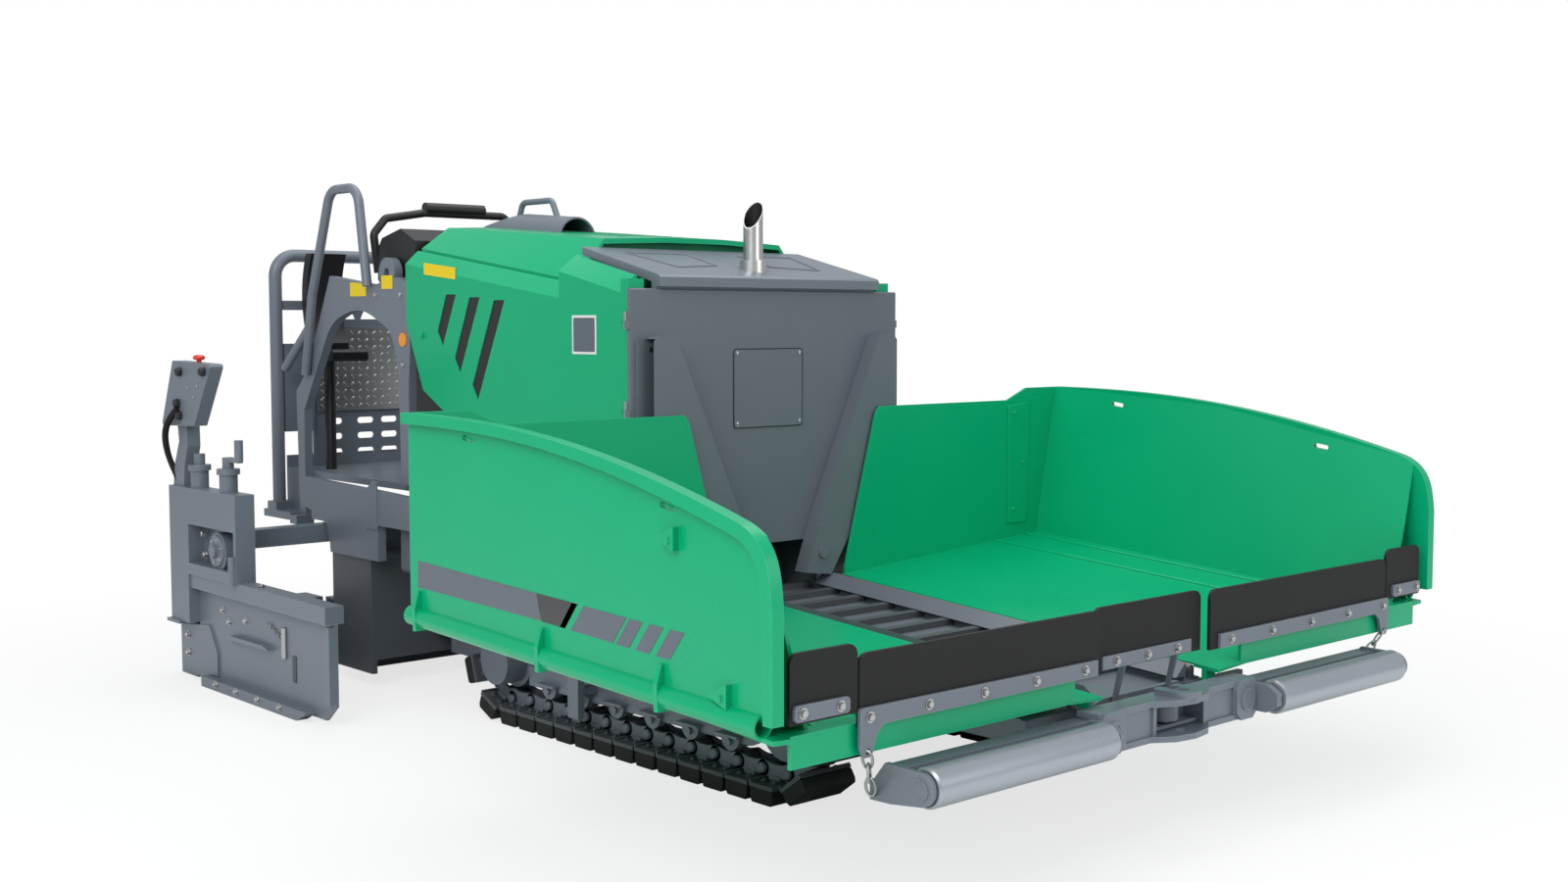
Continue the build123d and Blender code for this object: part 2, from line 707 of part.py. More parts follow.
def wing_tube():
    """Tube along the wing's foot, held by three upright lugs."""
    y = WING_OUTER - 6.0
    start = Vector(HOPPER_REAR, y, WING_FOOT_REAR + 15.0)
    end = Vector(WING_FRONT - 70.0, y, WING_FOOT_FRONT - 14.0)
    tube = rod(start, end, TUBE_RADIUS)
    for x in TUBE_LUGS:
        z = start.Z + (end.Z - start.Z) * (x - start.X) / (end.X - start.X)
        lug = [
            (WING_OUTER - 20.0, z - 40.0),
            (RIM_OUTER - 2.0, z - 40.0),
            (RIM_OUTER + 0.0, z + 34.0),
            (WING_OUTER + 12.0, z + 86.0),
            (WING_OUTER - 6.0, z + 86.0),
        ]
        tube += cross_plate(lug, x, x + 16.0)
    return tube - rod(start, end, TUBE_RADIUS - TUBE_WALL)


def wing_ears():
    """Two small lifting ears on the wing's outer face."""
    ears = Part()
    for x, z in ((1870.0, 1020.0), (2080.0, 640.0)):
        ear = side_plate([(x - 40.0, z), (x + 30.0, z + 38.0), (x + 30.0, z - 26.0)], WING_OUTER - 2.0, RIM_OUTER - 6.0)
        ears += ear - rod((x + 8.0, WING_OUTER - 10.0, z), (x + 8.0, RIM_OUTER, z), 9.0)
    return ears


def barrel_web(x0, x1):
    """Web that joins the hinge barrel to the floor above it."""
    top = hopper_z(x0) - HOPPER_PLATE / 2 - hinge_z(x0)
    y0, y1 = HOPPER_HINGE_HALF, HOPPER_HINGE_HALF + HINGE_BARREL
    return pitched_bar([(y0, 0.0), (y1, 0.0), (y1, top), (y0, top)], x0, x1)


def front_beam():
    """Channel across the front of the half, below the rubber apron."""
    y0, y1 = HOPPER_HINGE_HALF + 130.0, WING_OUTER - 60.0
    z0, z1 = hinge_z(APRON_X) + 22.0, APRON_BOTTOM + 12.0
    beam = block(APRON_X - 57.0, APRON_X, y0, y1, z0, z1)
    return beam - block(APRON_X - 100.0, APRON_X - HOPPER_PLATE, y0 - 1, y1 + 1, z0 - 1, z1 - HOPPER_PLATE)


def front_lug():
    """Pointed lug below the floor's front inner corner."""
    x, y = APRON_X - 44.0, HOPPER_HINGE_HALF
    z = hinge_z(x)
    outline = [(y, z + 20.0), (y + 90.0, z + 24.0), (y + 30.0, z - 22.0), (y, z - 22.0)]
    return cross_plate(outline, x - 18.0, x) - hopper_floor()


def apron_sheet(y0, y1, z0, z1, x0=APRON_X):
    """Rubber sheet with rounded upper corners."""
    sheet = block(x0, x0 + APRON_THICK, y0, y1, z0, z1)
    return fillet(sheet.edges().filter_by(Axis.X).group_by(Axis.Z)[-1], APRON_ROUND)


def large_apron_outer():
    """Outer edge of the large apron."""
    return LINER_FOOT - 105.0


def aprons(inner):
    """Large and small rubber sheet at the front of one half, from the given inner edge."""
    top = APRON_BOTTOM + APRON_HEIGHT
    outer = large_apron_outer()
    small_y = outer + APRON_GAP
    large = apron_sheet(inner, outer, APRON_BOTTOM, top)
    small = apron_sheet(small_y, small_y + SMALL_APRON, APRON_BOTTOM + 42.0, top + 30.0)
    return [large, small]


def apron_bars(inner):
    """Steel clamp bars over the feet of the aprons; the large one ends in a hook plate."""
    x0, x1 = APRON_X + APRON_THICK, APRON_X + APRON_THICK + APRON_BAR
    z = APRON_BOTTOM
    outer = large_apron_outer() + 6.0
    outline = [
        (inner, z + 2.0),
        (outer - 90.0, z + 2.0),
        (outer - 62.0, z - 20.0),
        (outer - 42.0, z - 78.0),
        (outer - 14.0, z - 78.0),
        (outer, z - 50.0),
        (outer, z + 52.0),
        (inner, z + 48.0),
    ]
    bar = cross_plate(outline, x0, x1)
    bar = fillet(bar.edges().filter_by(Axis.X).group_by(Axis.Z)[-1], 12.0)
    bar -= rod((x0 - 1, outer - 28.0, z - 62.0), (x1 + 1, outer - 28.0, z - 62.0), 9.0)
    small_inner = outer + 36.0
    small = block(x0, x1, small_inner, small_inner + 190.0, z + 50.0, z + 92.0)
    small = fillet(small.edges().filter_by(Axis.X), 12.0)
    return [bar, small]


def centre_apron():
    """Rubber sheet between the halves, on the chassis."""
    y0, y1 = CENTRE_APRON_Y
    return apron_sheet(y0, y1, APRON_BOTTOM, APRON_BOTTOM + APRON_HEIGHT, CENTRE_APRON_X)


def centre_apron_bar():
    """Clamp bar of the middle apron."""
    y0, y1 = CENTRE_APRON_Y
    x = CENTRE_APRON_X + APRON_THICK
    return block(x, x + 8.0, y0 + 30.0, y1 - 60.0, APRON_BOTTOM + 4.0, APRON_BOTTOM + 44.0)


def push_beam():
    """Back channel, middle casting with its knuckles and hitch plate, end brackets, roller pins."""
    z = ROLLER_AXIS_Z
    x0, x1 = BEAM_BACK, BEAM_BACK + BEAM_DEPTH
    half = BEAM_HEIGHT / 2
    end = PUSH_ROLLER_OUTER + PASS_GAP
    beam = block(x0, x1, -end, end, z - half, z + half)
    beam -= block(x0 + 10.0, x1 + 1, -end - 1, end + 1, z + 10.0 - half, z - 10.0 + half)
    beam -= block(x0 - 1, x0 + 11.0, -90.0, 90.0, z + 5.0 - half, z - 5.0 + half)
    beam += middle_casting()
    for part in (beam_end(), knuckle()):
        beam += both(part)
    bore_low = z - half - 5.0 - BEAM_PLATE
    beam -= rod((BEAM_PIVOT_X, 0, bore_low - 50.0), (BEAM_PIVOT_X, 0, z + 200.0), PIVOT_RADIUS + HINGE_FIT)
    return beam - rod((TOW_BORE_X, 0, bore_low - 50.0), (TOW_BORE_X, 0, z + 200.0), TOW_BORE)


def middle_casting():
    """Upper and lower plates with bulging fronts, inner webs and the raised hitch plate."""
    z = ROLLER_AXIS_Z
    plate_z = BEAM_HEIGHT / 2 + 5.0
    front = KNUCKLE_FRONT - 12.0
    half = [
        (BEAM_BACK + 5.0, KNUCKLE_OUTER),
        (front, KNUCKLE_OUTER),
        (front, 150.0),
        (front + 44.0, 84.0),
        (front + 58.0, 0.0),
    ]
    outline = half + [(x, -y) for x, y in reversed(half[:-1])]
    casting = flat_plate(outline, z + plate_z, z + plate_z + BEAM_PLATE)
    casting += flat_plate(outline, z - plate_z - BEAM_PLATE, z - plate_z)
    for y in (-130.0, 130.0, -KNUCKLE_INNER - 6.0, KNUCKLE_INNER + 6.0):
        casting += block(BEAM_BACK + 8.0, front, y - 8.0, y + 8.0, z - plate_z - 4.0, z + plate_z + 4.0)
    casting += block(front - 24.0, front - 8.0, 130.0, KNUCKLE_INNER, z - plate_z - 4.0, z + plate_z + 4.0)
    casting += block(front - 24.0, front - 8.0, -KNUCKLE_INNER, -130.0, z - plate_z - 4.0, z + plate_z + 4.0)
    top = z + plate_z + BEAM_PLATE
    hitch = block(BEAM_BACK + 30.0, TOW_BORE_X, -58.0, 58.0, top, top + BEAM_PLATE)
    hitch += rod((TOW_BORE_X, 0, top), (TOW_BORE_X, 0, top + BEAM_PLATE), 58.0)
    return casting + hitch


def knuckle():
    """Left knuckle: eight-sided casting with a round boss on its front."""
    z = ROLLER_AXIS_Z
    reach = BEAM_HEIGHT / 2 + 24.0
    cut = 26.0
    y0, y1 = KNUCKLE_INNER, KNUCKLE_OUTER
    outline = [
        (y0, z - reach + cut),
        (y0 + cut, z - reach),
        (y1 - cut, z - reach),
        (y1, z - reach + cut),
        (y1, z + reach - cut),
        (y1 - cut, z + reach),
        (y0 + cut, z + reach),
        (y0, z + reach - cut),
    ]
    body = cross_plate(outline, BEAM_BACK + 15.0, KNUCKLE_FRONT)
    y = (y0 + y1) / 2
    ring = rod((KNUCKLE_FRONT - 4.0, y, z), (KNUCKLE_FRONT + 6.0, y, z), 36.0)
    ring -= rod((KNUCKLE_FRONT + 3.0, y, z), (KNUCKLE_FRONT + 7.0, y, z), 28.0)
    arm = [
        (KNUCKLE_FRONT - 40.0, z - 45.0),
        (ROLLER_AXIS_X, z - 45.0),
        (ROLLER_AXIS_X + 40.0, z - 20.0),
        (ROLLER_AXIS_X + 40.0, z + 20.0),
        (ROLLER_AXIS_X, z + 45.0),
        (KNUCKLE_FRONT - 40.0, z + 45.0),
    ]
    body += side_plate(arm, KNUCKLE_OUTER - 10.0, KNUCKLE_OUTER + 14.0)
    return body + ring


def beam_end():
    """Left end bracket with its rounded nose, shackle tail and the roller's pin."""
    z = ROLLER_AXIS_Z
    y0 = PUSH_ROLLER_OUTER + PASS_GAP
    y1 = y0 + 16.0
    outline = [
        (BEAM_BACK - 45.0, z - 60.0),
        (BEAM_BACK + 30.0, z - 58.0),
        (ROLLER_AXIS_X, z - 45.0),
        (ROLLER_AXIS_X, z + 45.0),
        (BEAM_BACK + 10.0, z + 48.0),
        (BEAM_BACK - 45.0, z - 20.0),
    ]
    end = side_plate(outline, y0, y1)
    end += rod((ROLLER_AXIS_X, y0, z), (ROLLER_AXIS_X, y1, z), 45.0)
    end -= rod((BEAM_BACK - 26.0, y0 - 1, z - 40.0), (BEAM_BACK - 26.0, y1 + 1, z - 40.0), 8.0)
    return end + rod((ROLLER_AXIS_X, KNUCKLE_OUTER, z), (ROLLER_AXIS_X, y1 + 4.0, z), PUSH_PIN)


def push_roller():
    """Left push roller."""
    z = ROLLER_AXIS_Z
    start = (ROLLER_AXIS_X, PUSH_ROLLER_INNER, z)
    end = (ROLLER_AXIS_X, PUSH_ROLLER_OUTER, z)
    drum = rod(start, end, PUSH_ROLLER_RADIUS)
    drum = chamfer(drum.edges().filter_by(GeomType.CIRCLE), 6.0)
    return drum - rod(start, end, PUSH_PIN + HINGE_FIT)


def hood_section(x):
    """Skin points at a station, as (y, z): side top, strip top, seam, crown shoulder, crown edge."""
    fall = HOOD_FALL * (x - HOOD_REAR)
    return [
        (HOOD_HALF, 1828.0 - fall),
        (HOOD_HALF - 60.0, 1885.0 - fall),
        (HOOD_HALF - 80.0, 1895.0 - fall),
        (HOOD_HALF - 210.0, 1987.0 - fall * 0.55),
        (HOOD_HALF - 510.0, 2000.0 - fall * 0.55),
    ]


def lofted(ring_at, stations):
    """Straight skin through the same ring of points at several stations."""
    faces = [make_face(Polyline([(x, y, z) for y, z in ring_at(x)], close=True)) for x in stations]
    return loft(faces, ruled=True)


def crown_ring(x, drop, floor=None):
    """Ring under the crown's outer face, lowered by a drop; closed below at a floor."""
    outer = [(y, z - drop) for y, z in hood_section(x)[2:]]
    over = [(-y, z) for y, z in outer] + [(y, z) for y, z in reversed(outer)]
    if floor is not None:
        return over + [(outer[0][0], floor), (-outer[0][0], floor)]
    under = [(y, z - HOOD_SKIN) for y, z in outer]
    return over + under + [(-y, z) for y, z in reversed(under)]


def hood_top():
    """Crown of the hood with its air vents and a recessed front wall."""
    ends = (HOOD_REAR, CROWN_FRONT)
    crown = lofted(lambda x: crown_ring(x, 0.0), ends)
    wall_x = CROWN_FRONT - 70.0
    wall = lofted(lambda x: crown_ring(x, HOOD_SKIN / 2, 1700.0), (wall_x - 10.0, wall_x))
    crown += wall
    for index in range(VENT_COUNT):
        x = CROWN_FRONT - 110.0 - index * VENT_PITCH
        vent = [
            (x, VENT_HALF),
            (x - VENT_LENGTH, VENT_HALF),
            (x - VENT_LENGTH - 20.0, -VENT_HALF),
            (x - 20.0, -VENT_HALF),
        ]
        crown -= flat_plate(vent, 1700.0, 2100.0)
    return crown


def hood_fill():
    """Everything under the crown's outer face."""
    return lofted(lambda x: crown_ring(x, -SEAT_GAP, 1500.0), (COWL_REAR - 50.0, CROWN_FRONT))


def door_ring(x):
    """Door section at a station: side wall and chamfered upper strip."""
    side, strip = hood_section(x)[:2]
    inner = side[0] - DOOR_THICK
    return [
        (side[0], 1040.0),
        side,
        strip,
        (strip[0] - 8.0, strip[1] - DOOR_THICK),
        (inner, side[1] - 8.0),
        (inner, 1040.0),
    ]


def cheek_ring(x):
    """Section of the raised cheek beside the lid."""
    fall = 0.22 * (x - CROWN_FRONT)
    inner = LID_HALF + 11.0 + 0.05 * (x - CROWN_FRONT)
    return [
        (HOOD_HALF, 1560.0),
        (HOOD_HALF, 1775.0 - fall),
        (inner + 14.0, 1837.0 - fall),
        (inner, 1837.0 - fall),
        (inner, 1809.0 - fall),
        (HOOD_HALF - DOOR_THICK, 1747.0 - fall),
        (HOOD_HALF - DOOR_THICK, 1560.0),
    ]


def hood_door():
    """Left engine door: chamfered strip, raised cheek by the lid, slanted foot and louvres."""
    door = lofted(door_ring, (HOOD_REAR, HOOD_FRONT))
    door += lofted(cheek_ring, (CROWN_FRONT, HOOD_FRONT - 45.0))
    cheek_end = 1740.0
    door += block(HOOD_FRONT - 46.0, HOOD_FRONT, LID_HALF + 35.0, HOOD_HALF, 1600.0, cheek_end)
    outline = [
        (HOOD_REAR, 1950.0),
        (HOOD_FRONT, 1950.0),
        (HOOD_FRONT, 1222.0),
        (180.0, 1222.0),
        (140.0, 1060.0),
        (-420.0, 1050.0),
        (-775.0, 1190.0),
        (-990.0, 1300.0),
        (HOOD_REAR, 1580.0),
    ]
    door &= side_plate(outline, LID_HALF, HOOD_HALF + 40.0)
    for louvre in louvres():
        door -= side_plate(louvre, LID_HALF, HOOD_HALF + 40.0)
    x, y = DOOR_HINGE_X, DOOR_HINGE_Y
    for z in DOOR_HINGE_Z:
        door += rod((x, y, z), (x, y, z + 30.0), DOOR_KNUCKLE)
        door += block(x - 40.0, x, HOOD_HALF - 4.0, y, z, z + 30.0)
        door -= rod((x, y, z - 1.0), (x, y, z + 40.0), DOOR_PIN + HINGE_FIT)
    return door


def louvres():
    """Three leaning slots with pointed feet, each longer than the one behind it."""
    shapes = []
    for index in range(3):
        x = -724.0 + 178.0 * index
        top = 1696.0 - 13.0 * index
        foot = 1484.0 - 107.0 * index
        lean = (top - foot) * 0.5
        shapes.append([(x, top), (x - 77.0, top), (x - 40.0 - lean, foot + 62.0), (x - lean, foot)])
    return shapes


def hood_sides():
    """Fixed inner side panel behind the left door."""
    y1 = HOOD_HALF - DOOR_THICK - 8.0
    x0, x1 = HOOD_REAR + 25.0, DECK_FRONT - 2.0
    outline = [
        (x0, DECK_TOP),
        (x1, DECK_TOP),
        (x1, hood_section(x1)[0][1] - 30.0),
        (x0, hood_section(x0)[0][1] - 30.0),
    ]
    return side_plate(outline, y1 - 12.0, y1)


def hood_front_panel():
    """Front wall above the hopper, with its screwed hatch and the doors' fixed hinge eyes."""
    x0, x1 = DECK_FRONT, DECK_FRONT + PANEL_THICK
    foot = DECK_TOP - DECK_THICK
    half = [(DECK_HALF, foot), (PANEL_HALF, 1230.0), (PANEL_HALF, PANEL_TOP)]
    outline = half + [(-y, z) for y, z in reversed(half)]
    panel = cross_plate(outline, x0, x1)
    panel = fillet(panel.edges().filter_by(Axis.Y).group_by(Axis.Z)[-1].sort_by(Axis.X)[-1:], 8.0)
    plate = Plane(origin=(x1, -20.0, 1335.0), x_dir=(0, 1, 0), z_dir=(1, 0, 0))
    panel += extrude(plate * RectangleRounded(HATCH_WIDTH, HATCH_HEIGHT, 16.0), amount=3.0)
    hinges = door_hinge_fixed()
    return panel + both(hinges)


def door_hinge_fixed():
    """Fixed eyes and pins of the left door's two hinges."""
    x, y = DOOR_HINGE_X, DOOR_HINGE_Y
    eyes = Part()
    for z in DOOR_HINGE_Z:
        eyes += rod((x, y, z - 30.0), (x, y, z - SEAT_GAP), DOOR_KNUCKLE)
        eyes += block(x, DECK_FRONT + PANEL_THICK, PANEL_HALF, y + DOOR_KNUCKLE, z - 30.0, z - SEAT_GAP)
        eyes += rod((x, y, z - 30.0), (x, y, z + 32.0), DOOR_PIN)
    return eyes


def hood_lid():
    """Sloping front cover with its folded lip and a hole for the exhaust collar."""
    front_z = PANEL_TOP + 8.0
    rear_x = CROWN_FRONT + 5.0
    panel_front = DECK_FRONT + PANEL_THICK
    outline = [
        (DECK_FRONT - 10.0, PANEL_TOP),
        (panel_front - 9.0, PANEL_TOP),
        (panel_front - 9.0, front_z),
        (LID_FRONT, front_z),
        (LID_FRONT, front_z + LID_LIP - 8.0),
        (LID_FRONT - 10.0, front_z + LID_LIP),
        (rear_x, 1868.0),
        (rear_x, 1838.0),
        (DECK_FRONT - 10.0, front_z + 18.0),
    ]
    lid = side_plate(outline, -LID_HALF, LID_HALF)
    hole = rod((EXHAUST_X, 0, 1600.0), (EXHAUST_X, 0, 2100.0), EXHAUST_RADIUS + 14.0 + SEAT_GAP)
    return lid - hole


def hood_rear_wall():
    """Wall between the engine room and the operator."""
    x0 = HOOD_REAR + 1.0
    section = hood_section(x0 + 20.0)
    half = LID_HALF + 20.0
    points = [(half, DECK_TOP), (half, 1800.0)]
    points += [(y, z - HOOD_SKIN - SEAT_GAP) for y, z in section[3:]]
    outline = points + [(-y, z) for y, z in reversed(points)]
    return cross_plate(outline, x0, x0 + 20.0)


def exhaust():
    """Upright stack with a mitred mouth and a base collar."""
    base = 1760.0
    radius = EXHAUST_RADIUS
    stack = rod((EXHAUST_X, 0, base), (EXHAUST_X, 0, EXHAUST_TOP), radius)
    stack += rod((EXHAUST_X, 0, base), (EXHAUST_X, 0, base + 60.0), radius + 14.0)
    stack -= rod((EXHAUST_X, 0, base + 30.0), (EXHAUST_X, 0, EXHAUST_TOP + 1.0), radius - EXHAUST_WALL)
    rise = 3.0 * radius
    wedge = cross_plate([(-radius - 4, -rise), (-radius - 4, 4.0), (radius + 4, 4.0)], -radius - 4, radius + 4)
    return stack - Pos(EXHAUST_X, 0, EXHAUST_TOP) * Rot(0, 0, EXHAUST_TURN) * wedge


def deflector():
    """Left V plate that leads material to the conveyor: bent sheet with a bolted inner flange."""
    x0 = DECK_FRONT + PANEL_THICK
    x1 = x0 + DEFLECTOR_DEPTH
    sheet = DEFLECTOR_SHEET
    outline = [
        (125.0, 622.0),
        (250.0, 600.0),
        (615.0, 1130.0),
        (615.0, 1515.0),
        (595.0, 1535.0),
        (520.0, 1535.0),
        (200.0, 830.0),
    ]
    body = cross_plate(outline, x0, x1)
    hollow = [(137.0, 560.0), (700.0, 560.0), (700.0, 1524.0), (529.0, 1524.0), (210.0, 822.0)]
    body -= cross_plate(hollow, x0 - 1, x1 - sheet)
    flange = [(250.0, 700.0), (655.0, 1130.0), (655.0, 1510.0), (560.0, 1510.0), (560.0, 1150.0), (190.0, 740.0)]
    body += cross_plate(flange, x0, x0 + sheet)
    block_outline = [(118.0, 618.0), (250.0, 600.0), (292.0, 662.0), (215.0, 800.0), (186.0, 800.0)]
    body += cross_plate(block_outline, x0, x1 + 2.0)
    return body + rod((x1, 205.0, 690.0), (x1 + 12.0, 205.0, 690.0), 22.0)


def intake_cowl():
    """Arched intake cowl: open arch in front, tapering to the rear, with a grip on top."""
    z = COWL_CREST - COWL_RADIUS
    outer = cowl_body(COWL_RADIUS, 0.0, COWL_REAR)
    inner = cowl_body(COWL_RADIUS - COWL_SHEET, COWL_SHEET, COWL_REAR + 60.0)
    cowl = outer - inner
    for side in (-1, 1):
        y0, y1 = sorted((COWL_Y + side * COWL_RADIUS, COWL_Y + side * (COWL_RADIUS - 14.0)))
        cowl += block(COWL_FRONT - 60.0, COWL_FRONT, y0, y1, z - 90.0, z)
    grip = [
        (-1000.0, COWL_Y, COWL_CREST - 6.0),
        (-965.0, COWL_Y, COWL_CREST + 78.0),
        (-745.0, COWL_Y, COWL_CREST + 78.0),
        (-700.0, COWL_Y, COWL_CREST - 6.0),
    ]
    cowl += pipe(grip, [35.0, 35.0], 13.0)
    return cowl - hood_fill()


def cowl_body(radius, lower, rear):
    """Solid arch along the crown's slope, cut by the cowl's side outline."""
    front = COWL_FRONT + lower
    z0 = COWL_CREST - COWL_RADIUS
    z1 = z0 + COWL_SLOPE * (COWL_FRONT - COWL_REAR)
    arch = rod((COWL_REAR, COWL_Y, z1), (COWL_FRONT + 50.0, COWL_Y, z0 - 50.0 * COWL_SLOPE), radius)
    arch += block(COWL_REAR, front, COWL_Y - radius, COWL_Y + radius, z0 - 90.0, z0)
    outline = [
        (rear, z0 - 90.0),
        (rear, z0 + 70.0 - lower),
        (-905.0, COWL_CREST + 31.0 - lower),
        (front, COWL_CREST + 31.0),
        (front, z0 - 90.0),
    ]
    return arch & side_plate(outline, COWL_Y - 2 * radius, COWL_Y + 2 * radius)


def operator_platform():
    """Standing floor with its rear toe board, bearers and the sills of the guard poles."""
    z0 = FLOOR_TOP - FLOOR_THICK
    front = CHASSIS_REAR
    deck = block(STAND_REAR, front, -STAND_HALF, STAND_HALF, z0, FLOOR_TOP)
    deck += block(STAND_REAR, STAND_REAR + 12.0, -STAND_HALF, STAND_HALF, z0, FLOOR_TOP + 60.0)
    return deck + both(platform_bearer()) + both(guard_foot())


def platform_bearer():
    """Bracket from the engine deck that carries the standing floor."""
    z0 = DECK_TOP - DECK_THICK
    z1 = FLOOR_TOP - FLOOR_THICK
    x = CHASSIS_REAR
    return side_plate([(x, z0), (x, z1), (x - 140.0, z1), (x - 140.0, z1 - 20.0), (x - 20, z0)], 380.0, 420.0)


def guard_foot():
    """Sill and clevis that carry one guard pole and the arch's leg."""
    y0, y1 = STAND_HALF, STAND_HALF + 90.0
    foot = block(SILL_REAR, -2165.0, y0, y1, 655.0, 690.0)
    foot += block(GUARD_X - 45.0, GUARD_X + 45.0, y0, y1, 690.0, 730.0)
    foot += block(-2165.0, -2100.0, y0, y1, 640.0, 680.0)
    return foot + block(STAND_REAR, -2165.0, y0 - 30.0, y0, 655.0, FLOOR_TOP - FLOOR_THICK)


def platform_arch():
    """Left side plate of the stand: rear leg, shoulder with the lifting eye, and front pillar."""
    outer = Polyline(
        (-1225.0, 0, 1351.0),
        (-1215.0, 0, FLOOR_TOP),
        (CHASSIS_REAR - 4.0, 0, FLOOR_TOP),
        (CHASSIS_REAR - 4.0, 0, 1320.0),
        (-1128.0, 0, 1458.0),
        (-1137.0, 0, 1748.0),
        (-1230.0, 0, 1775.0),
        (-1429.0, 0, 1745.0),
        (-1829.0, 0, 1791.0),
        (-2056.0, 0, 1364.0),
        (-2175.0, 0, 1261.0),
        (-2160.0, 0, 680.0),
        (-2106.0, 0, 680.0),
        (-2100.0, 0, 1175.0),
        (-1869.0, 0, 1516.0),
    )
    crown = Spline(
        [(-1869.0, 0, 1516.0), (-1700.0, 0, 1618.0), (-1521.0, 0, 1630.0), (-1376.0, 0, 1582.0), (-1225.0, 0, 1351.0)],
        tangents=[(0.7, 0, 1), (0.2, 0, -1)],
    )
    face = make_face([*outer.edges(), *crown.edges()])
    plate = Pos(0, STAND_HALF, 0) * extrude(face, amount=ARCH_THICK, dir=(0, 1, 0))
    y0, y1 = STAND_HALF, STAND_HALF + ARCH_THICK
    plate += rod((EYE_X, y0, EYE_Z), (EYE_X, y1, EYE_Z), 66.0)
    return plate - rod((EYE_X, y0 - 1, EYE_Z), (EYE_X, y1 + 1, EYE_Z), EYE_RADIUS)


def handrail():
    """Hoop over the arch at the boarding side, with its rear brace down to the guard's side panel."""
    y = STAND_HALF + ARCH_THICK + HOOP_RADIUS
    points = [(-2035.0, y, 1340.0), (-1960.0, y, 1700.0), (-1770.0, y, 2172.0), (-1520.0, y, 2172.0), (-1448.0, y, 1740.0)]
    hoop = pipe(points, [150.0, 90.0, 90.0], HOOP_RADIUS)
    return hoop + rod((-1990.0, y, 1560.0), (-2240.0, y, 1366.0), HOOP_RADIUS)


def rear_guard():
    """Bent guard tube at the operator's back, with a middle cross tube."""
    y = GUARD_HALF
    points = [(GUARD_X, y, 730.0), (GUARD_X, y, GUARD_TOP), (GUARD_X, -y, GUARD_TOP), (GUARD_X, -y, 730.0)]
    return pipe(points, [100.0, 100.0], POLE_RADIUS)


def rear_wall():
    """Sheet wall between the guard's poles: slotted foot, tread panel, windows and side boxes."""
    y1 = GUARD_HALF - POLE_RADIUS
    half = WALL_THICK / 2
    x0, x1 = GUARD_X - half, GUARD_X + half
    wall = block(x0, x1, -470.0, 470.0, FLOOR_TOP, 1690.0)
    for y in (60.0, 190.0, 360.0):
        for z in (1100.0, 1026.0, 950.0):
            slot = extrude(Plane(origin=(x0 - 1, y, z), x_dir=(0, 1, 0), z_dir=(1, 0, 0))
                           * SlotOverall(SLOT_LENGTH, SLOT_HEIGHT), amount=WALL_THICK + 2)
            wall -= both(slot)
    for y in (115.0, 330.0):
        window = [(y - 95.0, 1597.0), (y - 70.0, 1650.0), (y + 70.0, 1650.0), (y + 95.0, 1597.0)]
        wall -= both(cross_plate(window, x0 - 1, x1 + 1))
    wall += block(x1, x1 + 8.0, -445.0, 445.0, 1150.0, 1560.0)
    side = block(GUARD_X - 20.0, GUARD_X + 20.0, 470.0, y1, 1060.0, 1480.0)
    side += block(GUARD_X - 12.0, GUARD_X + 12.0, 460.0, y1, 1640.0, 1685.0)
    return wall + both(side)


def seat():
    """Left seat: curved shell with its cushion, on a swivel post."""
    post = rod((-2150.0, 480.0, FLOOR_TOP), (-2150.0, 480.0, 1400.0), 25.0)
    pan = block(-2210.0, -1960.0, 380.0, 560.0, 1400.0, 1455.0)
    pan = fillet(pan.edges().filter_by(Axis.Y), 20.0)
    back = rod((-1790.0, 380.0, 1700.0), (-1790.0, 560.0, 1700.0), 470.0)
    back -= rod((-1790.0, 379.0, 1700.0), (-1790.0, 561.0, 1700.0), 420.0)
    back &= block(-2300.0, -2150.0, 380.0, 560.0, 1420.0, 1905.0)
    return post + pan + back


def console():
    """Control desk with its sloping top, on a pedestal behind the hood."""
    y0, y1 = CONSOLE_Y - CONSOLE_HALF, CONSOLE_Y + CONSOLE_HALF
    front = HOOD_REAR - 40.0
    outline = [
        (CONSOLE_REAR, 1770.0),
        (CONSOLE_REAR + 90.0, 1690.0),
        (front, 1690.0),
        (front, 1930.0),
        (front - 120.0, 1985.0),
        (CONSOLE_REAR + 40.0, 1950.0),
        (CONSOLE_REAR, 1900.0),
    ]
    desk = side_plate(outline, y0, y1)
    return desk + block(front - 90.0, front, CONSOLE_Y - 220.0, CONSOLE_Y + 220.0, FLOOR_TOP, 1700.0)


def console_guard():
    """Bent tube over the control desk with its padded brow."""
    x = CONSOLE_REAR - 18.0 - SEAT_GAP
    y0, y1 = CONSOLE_Y - CONSOLE_HALF - 8.0, CONSOLE_Y + CONSOLE_HALF - 40.0
    points = [
        (x, y0 + 20.0, 1800.0),
        (x, y0, 1970.0),
        (x, y0 + 60.0, 2040.0),
        (x, CONSOLE_Y - 150.0, 2072.0),
        (x, y1 - 100.0, 2072.0),
        (x, y1, 1990.0),
        (x, y1, 1800.0),
    ]
    guard = pipe(points, [40.0, 30.0, 40.0, 40.0, 40.0], 18.0)
    return guard + rod((x, CONSOLE_Y - 150.0, 2092.0), (x, CONSOLE_Y + 155.0, 2092.0), 27.0)


